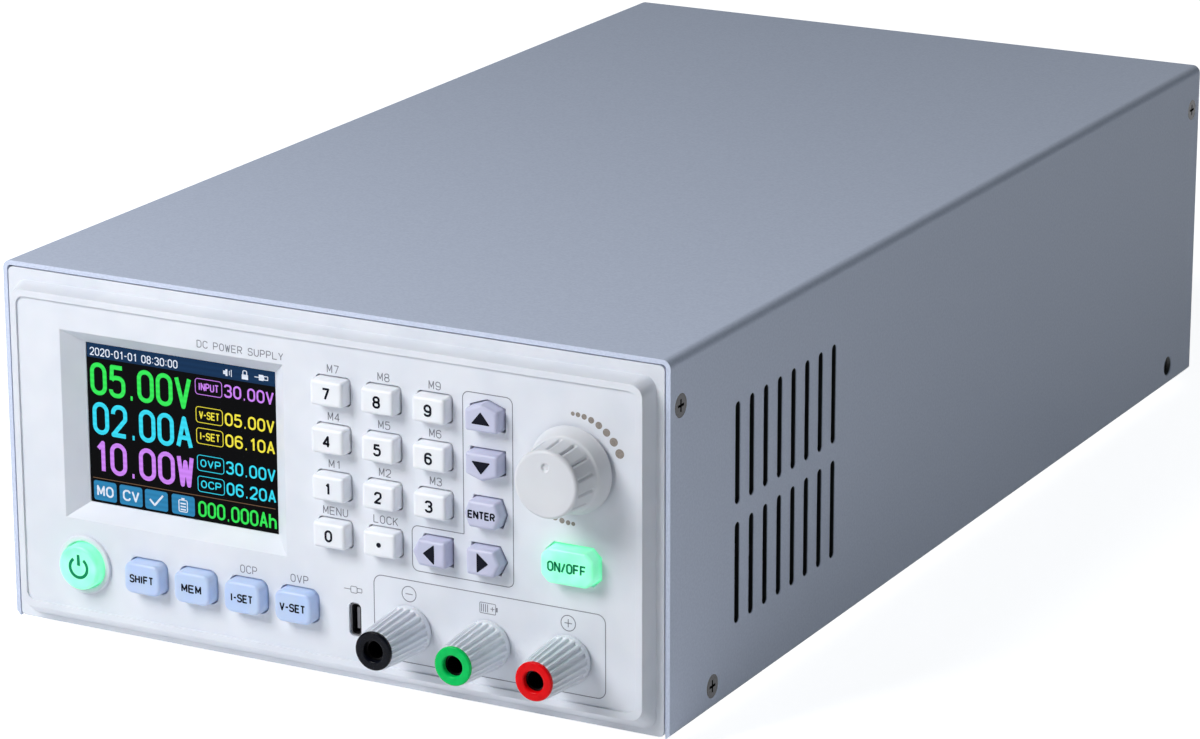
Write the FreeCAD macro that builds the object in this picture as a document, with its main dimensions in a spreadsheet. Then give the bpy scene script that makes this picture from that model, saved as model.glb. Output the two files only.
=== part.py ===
import FreeCAD, Part
import math
import os
import re

import Sketcher

# Bench DC power supply, in millimetres. Front faces -Y, up is +Z, X runs to the right seen from
# the front. The origin is at the middle of the footprint, on the surface the feet stand on.
# Most pieces are placed in the case frame: X from the middle, Y from the cover's front edge,
# Z from the cover's lower edge. place() moves that frame to the origin.

driving = {
    # case
    "cover_width": 168,
    "cover_height": 84.3,
    "cover_depth": 305,
    "cover_wall": 1.1,
    "cover_bend": 2.0,
    "sheet_wall": 1.2,
    "sheet_gap": 0.2,
    "sheet_bend": 1.0,
    "tray_lift": 0.3,
    "tray_flange": 12,
    "rear_inset": 0.6,
    "rear_flange": 12,
    # side vents
    "slot_width": 2.5,
    "slot_length": 23.2,
    "slot_pitch": 6.86,
    "slot_count": 8,
    "slot_start": 31.5,
    "slot_low": 27.9,
    "slot_high": 55.2,
    "floor_slot_length": 40,
    "floor_slot_start": 60,
    # countersunk cover screws
    "screw_radius": 1.65,
    "screw_sink": 1.0,
    "screw_length": 5,
    "screw_clear": 0.05,
    "screw_front": 4.7,
    "screw_top": 73.3,
    "screw_low_front": 20,
    "screw_low_rear": 288.7,
    "screw_low": 5.5,
    "screw_rear": 300,
    # small fixing screws
    "bolt_radius": 1.3,
    "bolt_clear": 0.06,
    "bolt_head": 2.6,
    "bolt_head_thick": 1.6,
    "bolt_length": 5,
    "bolt_long": 18,
    "lip_screw_x": 50,
    "lip_screw_z": 7,
    "lip_clear": 0.5,
    # feet
    "foot_height": 3,
    "foot_radius": 6,
    "foot_inset": 20,
    "foot_stem": 2.4,
    # front panel moulding
    "panel_gap": 0.3,
    "panel_wall": 2.5,
    "panel_corner": 1.2,
    "skirt_wall": 3,
    "skirt_depth": 10,
    "ledge_wall": 1.2,
    "ledge_side": 1.95,
    "ledge_top": 2.5,
    "ledge_bottom": 1.3,
    "draft_side": 1.1,
    "bevel_bottom": 3.0,
    "block_corner": 3.0,
    "rim_rise": 4.2,
    "face_rise": 3.8,
    "rim_width": 1.6,
    "face_corner": 2.0,
    "cavity_margin": 3.0,
    "boss_radius": 3,
    "boss_inset": 10,
    "boss_low": 14,
    "boss_high": 68,
    # display
    "window_x": -37.6,
    "window_z": 49.4,
    "window_width": 49.4,
    "window_height": 37.3,
    "window_bevel_side": 4.4,
    "window_bevel_top": 3.3,
    "window_frame": 2.4,
    "glass_margin": 1.4,
    "glass_thick": 1.0,
    "module_margin": 3.2,
    "module_thick": 2.4,
    "seat_gap": 0.1,
    # control board
    "board_set": 5.4,
    "board_thick": 1.6,
    "board_margin": 5,
    # keys
    "key_clear": 0.25,
    "key_rise": 3.2,
    "key_soft": 0.7,
    "key_lip": 0.8,
    "key_lip_thick": 0.8,
    "key_lip_gap": 0.1,
    "stem_radius": 1.5,
    "stem_clear": 0.05,
    "stem_overlap": 1.5,
    "switch_side": 6,
    "switch_height": 3.5,
    "switch_floor": 0.8,
    "digit_width": 8.3,
    "digit_height": 6.0,
    "digit_corner": 0.8,
    "digit_x": 4.2,
    "digit_z": 67.4,
    "digit_pitch_x": 12.65,
    "digit_pitch_z": 10.75,
    "arrow_half": 4.1,
    "arrow_tail": 3.1,
    "arrow_shoulder": 1.9,
    "arrow_tip": 3.3,
    "side_half": 3.1,
    "side_tail": 4.1,
    "side_shoulder": 2.8,
    "side_tip": 4.4,
    "enter_point": 4.5,
    "enter_shoulder": 3.3,
    "enter_half": 3.1,
    "arrow_x": 42.4,
    "left_x": 29.4,
    "function_width": 9.6,
    "function_height": 7.5,
    "function_corner": 1.8,
    "function_x": -44.8,
    "function_z": 17.0,
    "function_pitch": 13.13,
    "output_x": 63.0,
    "output_z": 37.4,
    "output_half_width": 6.5,
    "output_half_height": 4.1,
    "output_chamfer": 1.9,
    "power_x": -61.8,
    "power_z": 17.0,
    "power_radius": 5.3,
    "power_ring_radius": 6.85,
    "power_ring_rise": 0.8,
    "power_ring_sleeve": 6.1,
    # rotary encoder and knob
    "encoder_x": 62.9,
    "encoder_z": 58.6,
    "encoder_side": 12,
    "encoder_gap": 0.1,
    "bushing_radius": 3.5,
    "bushing_reach": 4.2,
    "shaft_radius": 3.0,
    "shaft_clear": 0.05,
    "shaft_inner": 4.2,
    "plunger_radius": 2.2,
    "plunger_thick": 0.9,
    "push_travel": 0.5,
    "knob_gap": 0.8,
    "knob_height": 12.2,
    "knob_skirt_radius": 9.8,
    "knob_skirt_height": 4.4,
    "knob_grip_base": 7.9,
    "knob_radius": 7.0,
    "knob_flute_radius": 0.3,
    "knob_flutes": 14,
    "knob_hollow": 6.2,
    "knob_roof": 2.5,
    "knob_dimple": 0.95,
    # binding posts
    "post_x": 22.4,
    "post_pitch": 19.6,
    "post_z": 15.8,
    "post_reach": 15.6,
    "post_gap": 0.25,
    "stud_radius": 3.0,
    "stud_clear": 0.06,
    "stud_setback": 1.5,
    "stud_shoulder": 4.4,
    "stud_shoulder_thick": 0.8,
    "stud_tail": 13,
    "socket_radius": 2.0,
    "socket_depth": 12,
    "post_cap_base": 5.6,
    "post_cap_front": 4.65,
    "post_collar": 1.6,
    "post_flute_radius": 0.42,
    "post_flutes": 22,
    "post_ring_radius": 4.4,
    "post_ring_thick": 1.0,
    "post_ring_bore": 2.35,
    "post_ring_shank": 3.9,
    "post_ring_seat": 0.9,
    "nut_flats": 10,
    "nut_thick": 3.0,
    # USB port
    "usb_x": 8.7,
    "usb_z": 15.7,
    "usb_width": 3.1,
    "usb_height": 7.8,
    "usb_gap": 0.15,
    "usb_set": 0.5,
    "usb_wall": 0.3,
    "usb_tongue": 0.7,
    # power electronics
    "main_board_y": 24,
    "main_board_width": 120,
    "main_board_depth": 72,
    "spacer_height": 6,
    "spacer_radius": 2.6,
    "spacer_inset": 5,
    "sink_x": -20,
    "sink_set": 10,
    "sink_width": 60,
    "sink_depth": 36,
    "sink_height": 30,
    "sink_base": 4,
    "fin_wall": 1.6,
    "fin_count": 9,
    "coil_x": 35,
    "coil_set": 24,
    "coil_radius": 11,
    "coil_height": 13,
    "can_radius": 6.5,
    "can_height": 26,
    "can_x": -25,
    "can_set": 60,
    "can_pitch": 15,
    "can_count": 4,
    "supply_y": 112,
    "supply_width": 97,
    "supply_depth": 150,
    "supply_height": 38,
    "supply_wall": 1.0,
    "lid_slot_pitch": 15,
    "lid_slot_width": 5,
    "lid_slot_count": 9,
    "core_x": -15,
    "core_set": 60,
    "core_width": 30,
    "core_depth": 32,
    "core_height": 28,
    "tank_x": 25,
    "tank_set": 30,
    "tank_pitch": 22,
    "tank_count": 3,
    "tank_radius": 9,
    "tank_height": 30,
    # fan
    "fan_x": -38,
    "fan_z": 42,
    "fan_side": 60,
    "fan_thick": 15,
    "fan_bore": 28.4,
    "fan_hole_pitch": 50,
    "rotor_radius": 27.4,
    "hub_radius": 13,
    "blade_count": 7,
    "blade_wall": 1.4,
    "blade_pitch": 38,
    "axle_radius": 1.5,
    "strut_width": 4,
    "strut_depth": 2.5,
    "guard_wire": 0.8,
    "guard_rings": 4,
    "guard_pitch": 6.6,
    "guard_eye": 3.6,
    "guard_depth": 4.5,
    # mains inlet with its switch
    "inlet_x": 46,
    "inlet_z": 42,
    "inlet_width": 27.2,
    "inlet_height": 47,
    "inlet_flange": 2.5,
    "inlet_flange_margin": 2.4,
    "inlet_depth": 27,
    "socket_z": -10,
    "cavity_width": 24.4,
    "cavity_height": 16.4,
    "cavity_depth": 17,
    "pin_gauge": 2,
    "pin_height": 4,
    "pin_spread": 7,
    "pin_offset": 2,
    "pin_length": 15,
    "rocker_z": 13,
    "rocker_width": 19,
    "rocker_height": 11,
    "rocker_clear": 0.4,
    "rocker_axis": 2.5,
    "rocker_pin": 1.2,
    "rocker_well": 9,
    "rocker_tilt": 8,
}

document = FreeCAD.newDocument("bench_supply")
sheet = document.addObject("Spreadsheet::Sheet", "dims")
for row, (word, value) in enumerate(driving.items(), start=1):
    sheet.set(f"A{row}", word)
    sheet.set(f"B{row}", str(value))
    sheet.setAlias(f"B{row}", word)
document.recompute()

# Measures that several pieces share, as expressions of the sheet's words.
front_y = "((face_rise + post_reach - cover_depth - guard_depth + rear_inset) / 2)"
half_inside = "(cover_width / 2 - cover_wall)"
half_sheet = "(cover_width / 2 - cover_wall - sheet_gap)"
floor_top = "(tray_lift + sheet_wall)"
panel_half = f"({half_inside} - panel_gap)"
panel_top = "(cover_height - cover_wall - panel_gap)"
wall_back = "(panel_wall - face_rise)"
board_back = "(board_set + board_thick)"
lip_back = "-(panel_wall + key_lip_gap + key_lip_thick)"
stem_end = "(board_set - switch_height + stem_overlap)"
rear_face = "(cover_depth - rear_inset)"
rear_inner = f"({rear_face} - sheet_wall)"
main_board_z = f"({floor_top} + spacer_height)"
digit_column = ["digit_x", "digit_x + digit_pitch_x", "digit_x + 2 * digit_pitch_x"]
digit_row = ["digit_z"] + [f"digit_z - {step} * digit_pitch_z" for step in (1, 2, 3)]

pieces = []


def bound(text):
    """Expression text with the sheet's name put before each of its words."""
    return re.sub(r"[a-z_]+\w*", lambda m: f"dims.{m[0]}" if m[0] in driving else m[0], text)


def size(text):
    """Value of an expression of the sheet's words."""
    return float(sheet.evalExpression(bound(str(text))))


def place(thing, x="0", y="0", z="0"):
    """Put a shape at a point of the case frame."""
    thing.setExpression("Placement.Base.x", bound(str(x)))
    thing.setExpression("Placement.Base.y", bound(f"{y} + {front_y}"))
    thing.setExpression("Placement.Base.z", bound(f"{z} + foot_height"))
    return thing


def new_body(label, x="0", y="0", z="0"):
    body = document.addObject("PartDesign::Body", label)
    body.Label = label
    pieces.append(body)
    return place(body, x, y, z)


def new_sketch(body, role, offset="0"):
    """Sketch on one of the body's own origin planes, moved along its normal."""
    drawing = body.newObject("Sketcher::SketchObject", body.Name + "_sketch")
    support = next(one for one in body.Origin.OriginFeatures if one.Role == role)
    drawing.AttachmentSupport = [(support, "")]
    drawing.MapMode = "FlatFace"
    drawing.setExpression("AttachmentOffset.Base.z", bound(offset))
    return drawing


def fix(drawing, kind, geometry, point, value):
    """Distance of a point from the sketch's origin, bound to an expression."""
    number = drawing.addConstraint(Sketcher.Constraint(kind, -1, 1, geometry, point, size(value)))
    drawing.setExpression(f"Constraints[{number}]", bound(value))


def round_circle(drawing, x, z, radius):
    centre = FreeCAD.Vector(size(x), size(z), 0)
    circle = drawing.addGeometry(Part.Circle(centre, FreeCAD.Vector(0, 0, 1), size(radius)))
    fix(drawing, "DistanceX", circle, 3, x)
    fix(drawing, "DistanceY", circle, 3, z)
    number = drawing.addConstraint(Sketcher.Constraint("Radius", circle, size(radius)))
    drawing.setExpression(f"Constraints[{number}]", bound(radius))


def outline(drawing, corners):
    """Closed outline, anticlockwise. A corner is (x, z) or, where square, (x, z, radius)."""
    points = [FreeCAD.Vector(size(one[0]), size(one[1]), 0) for one in corners]
    total = len(corners)
    starts, ends, centres = [], [], []
    for at in range(total):
        radius = size(corners[at][2]) if len(corners[at]) > 2 else 0
        back = (points[at - 1] - points[at]).normalize()
        ahead = (points[(at + 1) % total] - points[at]).normalize()
        starts.append(points[at] + back * radius)
        ends.append(points[at] + ahead * radius)
        centres.append(points[at] + (back + ahead) * radius)
    lines = []
    for at in range(total):
        side = Part.LineSegment(ends[at], starts[(at + 1) % total])
        lines.append(drawing.addGeometry(side))
    for at in range(total):
        before, after = lines[at - 1], lines[at]
        if len(corners[at]) == 2:
            drawing.addConstraint(Sketcher.Constraint("Coincident", before, 2, after, 1))
            fix(drawing, "DistanceX", after, 1, corners[at][0])
            fix(drawing, "DistanceY", after, 1, corners[at][1])
            continue
        first = starts[at] - centres[at]
        last = ends[at] - centres[at]
        convex = first.cross(last).z > 0
        angles = [math.atan2(one.y, one.x) for one in ((first, last) if convex else (last, first))]
        radius = corners[at][2]
        circle = Part.Circle(centres[at], FreeCAD.Vector(0, 0, 1), size(radius))
        arc = drawing.addGeometry(Part.ArcOfCircle(circle, *angles))
        entry, leave = (1, 2) if convex else (2, 1)
        drawing.addConstraint(Sketcher.Constraint("Tangent", before, 2, arc, entry))
        drawing.addConstraint(Sketcher.Constraint("Tangent", arc, leave, after, 1))
        number = drawing.addConstraint(Sketcher.Constraint("Radius", arc, size(radius)))
        drawing.setExpression(f"Constraints[{number}]", bound(radius))
        lean = centres[at] - points[at]
        across = "+" if lean.x > 0 else "-"
        rise = "+" if lean.y > 0 else "-"
        fix(drawing, "DistanceX", arc, 3, f"{corners[at][0]} {across} {radius}")
        fix(drawing, "DistanceY", arc, 3, f"{corners[at][1]} {rise} {radius}")


def rectangle(left, low, right, high, radius=None):
    """Corners of a rectangle for outline()."""
    corners = [(left, low), (right, low), (right, high), (left, high)]
    return [one + (radius,) for one in corners] if radius else corners


def centred(x, z, width, height, radius=None):
    half_width, half_height = f"({width}) / 2", f"({height}) / 2"
    return rectangle(f"{x} - {half_width}", f"{z} - {half_height}",
                     f"{x} + {half_width}", f"{z} + {half_height}", radius)


def feature(body, kind, drawing, **sizes):
    """Sketched feature; a size given as text is bound to the sheet."""
    made = body.newObject(f"PartDesign::{kind}", f"{body.Name}_{kind.lower()}")
    made.Profile = drawing
    for word, value in sizes.items():
        if isinstance(value, str):
            made.setExpression(word, bound(value))
        else:
            setattr(made, word, value)
    return made


def pad_outline(body, role, offset, corners, length, **more):
    drawing = new_sketch(body, role, offset)
    outline(drawing, corners)
    return feature(body, "Pad", drawing, Length=length, **more)


def pad_circle(body, role, offset, x, z, radius, length):
    drawing = new_sketch(body, role, offset)
    round_circle(drawing, x, z, radius)
    return feature(body, "Pad", drawing, Length=length)


def cut_outlines(body, role, offset, outlines, length=None):
    """Pocket of several outlines, away from the sketch's normal; no length cuts through."""
    drawing = new_sketch(body, role, offset)
    for corners in outlines:
        outline(drawing, corners)
    return pocket(body, drawing, length)


def cut_circles(body, role, offset, circles, length=None):
    drawing = new_sketch(body, role, offset)
    for x, z, radius in circles:
        round_circle(drawing, x, z, radius)
    return pocket(body, drawing, length)


def pocket(body, drawing, length):
    if length is None:
        return feature(body, "Pocket", drawing, Type=1, Midplane=True)
    return feature(body, "Pocket", drawing, Length=length)


def turned(body, corners):
    """Solid of revolution about Y, from its outline of (radius, depth) corners."""
    drawing = new_sketch(body, "XY_Plane")
    outline(drawing, corners)
    return feature(body, "Revolution", drawing, ReferenceAxis=(drawing, ["V_Axis"]), Angle=360)


def polar(body, original, role, count):
    """Copies of a feature round one of the body's own axes."""
    document.recompute()
    pattern = body.newObject("PartDesign::PolarPattern", body.Name + "_pattern")
    axis = next(one for one in body.Origin.OriginFeatures if one.Role == role)
    pattern.Originals = [original]
    pattern.Axis = (axis, [""])
    pattern.Angle = 360
    pattern.setExpression("Occurrences", bound(count))
    body.Tip = pattern
    return pattern


def soften(body, base, radius, chosen):
    """Fillet of the edges that chosen() accepts."""
    document.recompute()
    edges = enumerate(base.Shape.Edges, start=1)
    names = [f"Edge{number}" for number, edge in edges if chosen(edge)]
    made = body.newObject("PartDesign::Fillet", body.Name + "_fillet")
    made.Base = (base, names)
    made.setExpression("Radius", bound(radius))
    return made


def block(x, y, z, length, width, height):
    """Box between a corner of the case frame and its three sizes."""
    made = document.addObject("Part::Box", "block")
    made.setExpression("Length", bound(length))
    made.setExpression("Width", bound(width))
    made.setExpression("Height", bound(height))
    return place(made, x, y, z)


def mid_block(x, y, z, length, width, height):
    """Box centred on x, with its front at y and its underside at z."""
    return block(f"{x} - ({length}) / 2", y, z, length, width, height)


turns = {
    "up": FreeCAD.Rotation(),
    "back": FreeCAD.Rotation(FreeCAD.Vector(1, 0, 0), -90),
    "front": FreeCAD.Rotation(FreeCAD.Vector(1, 0, 0), 90),
    "right": FreeCAD.Rotation(FreeCAD.Vector(0, 1, 0), 90),
    "left": FreeCAD.Rotation(FreeCAD.Vector(0, 1, 0), -90),
}


def rod(x, y, z, radius, length, way="back"):
    made = document.addObject("Part::Cylinder", "rod")
    made.Placement = FreeCAD.Placement(FreeCAD.Vector(), turns[way])
    made.setExpression("Radius", bound(radius))
    made.setExpression("Height", bound(length))
    return place(made, x, y, z)


def taper(x, y, z, first, second, length, way="back"):
    made = document.addObject("Part::Cone", "taper")
    made.Placement = FreeCAD.Placement(FreeCAD.Vector(), turns[way])
    made.setExpression("Radius1", bound(first))
    made.setExpression("Radius2", bound(second))
    made.setExpression("Height", bound(length))
    return place(made, x, y, z)


def joined(*shapes):
    made = document.addObject("Part::MultiFuse", "joined")
    made.Shapes = list(shapes)
    return made


def less(base, *tools):
    made = document.addObject("Part::Cut", "less")
    made.Base = base
    made.Tool = tools[0] if len(tools) == 1 else joined(*tools)
    return made


def group(label, shapes):
    """Several separate solids that share one node."""
    made = document.addObject("Part::Compound", label)
    made.Links = list(shapes)
    return named(label, made)


def named(label, shape):
    shape.Label = label
    pieces.append(shape)
    return shape


# ---- sheet-metal case -------------------------------------------------------------------------

def cover_screw_points():
    """Height and depth of the cover's screws on each side: front, lower front and rear."""
    return [("screw_front", "screw_top"), ("screw_low_front", "screw_low"),
            ("screw_rear", "screw_top")]


def make_cover():
    body = new_body("cover")
    half, wall, top = "cover_width / 2", "cover_wall", "cover_height"
    inner = "(cover_bend - cover_wall)"
    corners = [(f"-{half}", "0"), (f"-{half} + {wall}", "0"),
               (f"-{half} + {wall}", f"{top} - {wall}", inner),
               (f"{half} - {wall}", f"{top} - {wall}", inner),
               (f"{half} - {wall}", "0"), (half, "0"),
               (half, top, "cover_bend"), (f"-{half}", top, "cover_bend")]
    pad_outline(body, "XZ_Plane", "0", corners, "cover_depth", Reversed=True)
    holes = cover_screw_points() + [("screw_low_rear", "screw_low")]
    drilled = cut_circles(body, "YZ_Plane", "0",
                          [(y, z, "screw_radius + screw_clear") for y, z in holes])
    document.recompute()
    rims = []
    for number, edge in enumerate(drilled.Shape.Edges, start=1):
        at = edge.BoundBox
        if abs(abs(at.XMin) - size(half)) < 0.01 and at.XLength < 0.01 and at.ZLength < 8:
            rims.append(f"Edge{number}")
    sunk = body.newObject("PartDesign::Chamfer", "cover_countersinks")
    sunk.Base = (drilled, rims)
    sunk.setExpression("Size", bound("screw_sink"))
    drawing = new_sketch(body, "YZ_Plane")
    for middle in ("slot_low", "slot_high"):
        outline(drawing, centred("slot_start", middle, "slot_width", "slot_length",
                                 "slot_width * 0.48"))
    slots = pocket(body, drawing, None)
    document.recompute()
    pattern = body.newObject("PartDesign::LinearPattern", "cover_slots")
    pattern.Originals = [slots]
    pattern.Direction = (drawing, ["H_Axis"])
    pattern.setExpression("Length", bound("(slot_count - 1) * slot_pitch"))
    pattern.setExpression("Occurrences", bound("slot_count"))
    body.Tip = pattern


def make_tray():
    front = "(skirt_depth + panel_gap)"
    body = new_body("chassis_tray", y=front)
    half, low, top = half_sheet, "tray_lift", "(tray_lift + tray_flange)"
    inner = f"({half} - sheet_wall)"
    corners = [(f"-{half}", low, "sheet_bend"), (half, low, "sheet_bend"), (half, top),
               (inner, top), (inner, floor_top), (f"-{inner}", floor_top), (f"-{inner}", top),
               (f"-{half}", top)]
    pad_outline(body, "XZ_Plane", "0", corners, f"{rear_inner} - sheet_gap - {front}",
                Reversed=True)
    lip = rectangle(f"-{half} + tray_flange", low, f"{half} - tray_flange",
                    "post_z - stud_radius - lip_clear")
    pad_outline(body, "XZ_Plane", "-sheet_wall", lip, "sheet_wall")
    low_screws = [(f"{y} - {front}", "screw_low", "screw_radius + screw_clear")
                  for y in ("screw_low_front", "screw_low_rear")]
    cut_circles(body, "YZ_Plane", "0", low_screws)
    cut_circles(body, "XZ_Plane", "0", [(x, "lip_screw_z", "bolt_radius + bolt_clear")
                                         for x in ("-lip_screw_x", "lip_screw_x")],
                "sheet_wall")
    drawing = new_sketch(body, "XY_Plane")
    for x, y in foot_points():
        round_circle(drawing, x, f"{y} - {front}", "foot_stem + screw_clear")
    pocket(body, drawing, None)
    pillars = new_sketch(body, "XY_Plane", floor_top)
    pilots = new_sketch(body, "XY_Plane", main_board_z)
    for x, y in spacer_points():
        round_circle(pillars, x, f"{y} - {front}", "spacer_radius")
        round_circle(pilots, x, f"{y} - {front}", "bolt_radius + bolt_clear")
    feature(body, "Pad", pillars, Length="spacer_height")
    pocket(body, pilots, "spacer_height")
    slots = new_sketch(body, "XY_Plane")
    outline(slots, centred("0", f"floor_slot_start - {front}", "floor_slot_length", "slot_width",
                           "slot_width * 0.48"))
    slot = pocket(body, slots, None)
    document.recompute()
    pattern = body.newObject("PartDesign::LinearPattern", "floor_slots")
    pattern.Originals = [slot]
    pattern.Direction = (slots, ["V_Axis"])
    pattern.setExpression("Length", bound("(slot_count - 1) * slot_pitch"))
    pattern.setExpression("Occurrences", bound("slot_count"))
    body.Tip = pattern


def foot_points():
    sides = ("-cover_width / 2 + foot_inset", "cover_width / 2 - foot_inset")
    return [(x, y) for x in sides for y in ("foot_inset + 2", "cover_depth - foot_inset")]


def make_feet():
    feet = []
    for x, y in foot_points():
        pad = rod(x, y, "-foot_height", "foot_radius", "foot_height + tray_lift", "up")
        stem = rod(x, y, "tray_lift - 0.5", "foot_stem", "sheet_wall + 2", "up")
        feet.append(joined(pad, stem))
    group("feet", feet)


def make_rear_panel():
    body = new_body("rear_panel")
    half, low = half_sheet, f"({floor_top} + sheet_gap)"
    top = f"({panel_top} + panel_gap - sheet_gap)"
    sheet_plate = rectangle(f"-{half}", low, half, top, "sheet_bend")
    pad_outline(body, "XZ_Plane", f"-{rear_face}", sheet_plate, "sheet_wall")
    inner, side_low = f"({half} - sheet_wall)", "(tray_lift + tray_flange + sheet_gap)"
    rim = [(f"-{half}", side_low), (f"-{inner}", side_low), (f"-{inner}", f"{top} - sheet_wall"),
           (inner, f"{top} - sheet_wall"), (inner, side_low), (half, side_low),
           (half, top, "sheet_bend"), (f"-{half}", top, "sheet_bend")]
    pad_outline(body, "XZ_Plane", f"-{rear_inner}", rim, "rear_flange")
    foot = rectangle(f"-{inner} + sheet_gap", low, f"{inner} - sheet_gap", f"{low} + sheet_wall")
    pad_outline(body, "XZ_Plane", f"-{rear_inner}", foot, "rear_flange")
    cut_circles(body, "YZ_Plane", "0", [("screw_rear", "screw_top", "screw_radius + screw_clear")])
    cut_circles(body, "XZ_Plane", f"-{rear_inner}",
                [("fan_x", "fan_z", "fan_bore")]
                + [(x, z, "bolt_radius + bolt_clear") for x, z in fan_screw_points()],
                "sheet_wall")
    cut_outlines(body, "XZ_Plane", f"-{rear_inner}",
                 [centred("inlet_x", "inlet_z", "inlet_width + 2 * panel_gap",
                          "inlet_height + 2 * panel_gap")], "sheet_wall")


def fan_screw_points():
    reach = "fan_hole_pitch / 2"
    return [(f"fan_x {a} {reach}", f"fan_z {b} {reach}") for a in "+-" for b in "+-"]


def make_cover_screws():
    screws = []
    for y, z in cover_screw_points():
        for sign, way in (("", "left"), ("-", "right")):
            face = f"{sign}cover_width / 2"
            head = taper(face, y, z, "screw_radius + screw_sink", "screw_radius", "screw_sink", way)
            shank = rod(face, y, z, "screw_radius", "screw_length", way)
            recess = [block(f"{face} - 0.6", f"{y} - ({a}) / 2", f"{z} - ({b}) / 2", "1.2", a, b)
                      for a, b in (("0.6", "2.8"), ("2.8", "0.6"))]
            screws.append(less(joined(head, shank), *recess))
    group("cover_screws", screws)


# ---- front panel ------------------------------------------------------------------------------

def number_keys():
    """Digit keys as (label, x, z), laid out like a telephone upside down, zero at the foot."""
    keys = []
    for at, digit in enumerate("789456123"):
        keys.append((f"key_{digit}", digit_column[at % 3], digit_row[at // 3]))
    keys.append(("key_0", digit_column[0], digit_row[3]))
    keys.append(("key_point", digit_column[1], digit_row[3]))
    return keys


def quarter(corners, times):
    """Corners turned by quarter turns about the key's middle."""
    for _ in range(times):
        corners = [(f"-({z})", x) for x, z in corners]
    return corners


def house(half, tail, shoulder, tip, grow):
    """Five-sided key pointing up."""
    wide, foot = f"({half} + {grow})", f"({tail} + {grow})"
    return [(f"-{wide}", f"-{foot}"), (wide, f"-{foot}"), (wide, f"{shoulder} + {grow} / 2"),
            ("0", f"{tip} + {grow}"), (f"-{wide}", f"{shoulder} + {grow} / 2")]


def digit_shape(grow):
    return centred("0", "0", f"digit_width + 2 * {grow}", f"digit_height + 2 * {grow}",
                   f"(digit_corner + {grow})")


def arrow_shape(times):
    sizes = [("arrow_half", "arrow_tail", "arrow_shoulder", "arrow_tip"),
             ("side_half", "side_tail", "side_shoulder", "side_tip")][times % 2]
    return lambda grow: quarter(house(*sizes, grow), times)


def enter_shape(grow):
    point, shoulder, half = (f"({one} + {grow})" for one in ("enter_point", "enter_shoulder",
                                                             "enter_half"))
    return [(f"-{point}", "0"), (f"-{shoulder}", f"-{half}"), (shoulder, f"-{half}"),
            (point, "0"), (shoulder, half), (f"-{shoulder}", half)]


def function_shape(grow):
    return centred("0", "0", f"function_width + 2 * {grow}", f"function_height + 2 * {grow}",
                   f"(function_corner + {grow})")


def output_shape(grow):
    wide, high = f"(output_half_width + {grow})", f"(output_half_height + {grow})"
    cut = "output_chamfer"
    return [(f"-{wide} + {cut}", f"-{high}"), (f"{wide} - {cut}", f"-{high}"),
            (wide, f"-{high} + {cut}"), (wide, f"{high} - {cut}"), (f"{wide} - {cut}", high),
            (f"-{wide} + {cut}", high), (f"-{wide}", f"{high} - {cut}"),
            (f"-{wide}", f"-{high} + {cut}")]


def key_layout():
    """Every key but the round power button: (label, x, z, outline of a given growth)."""
    keys = [(label, x, z, digit_shape) for label, x, z in number_keys()]
    keys += [("key_up", "arrow_x", digit_row[0], arrow_shape(0)),
             ("key_down", "arrow_x", digit_row[1], arrow_shape(2)),
             ("key_enter", "arrow_x", digit_row[2], enter_shape),
             ("key_right", "arrow_x", digit_row[3], arrow_shape(3)),
             ("key_left", "left_x", digit_row[3], arrow_shape(1))]
    for at, word in enumerate(("shift", "memory", "current", "voltage")):
        keys.append((f"key_{word}", f"function_x + {at} * function_pitch", "function_z",
                     function_shape))
    keys.append(("key_output", "output_x", "output_z", output_shape))
    return keys


def shifted(corners, x, z):
    return [(f"{one[0]} + {x}", f"{one[1]} + {z}") + tuple(one[2:]) for one in corners]


def post_places():
    return [(colour, f"post_x + {at} * post_pitch")
            for at, colour in enumerate(("black", "green", "red"))]


def board_boss_points():
    far = f"({panel_half} - boss_inset)"
    return [(x, z) for x in (f"-{far}", far) for z in ("boss_low", "boss_high")]


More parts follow.
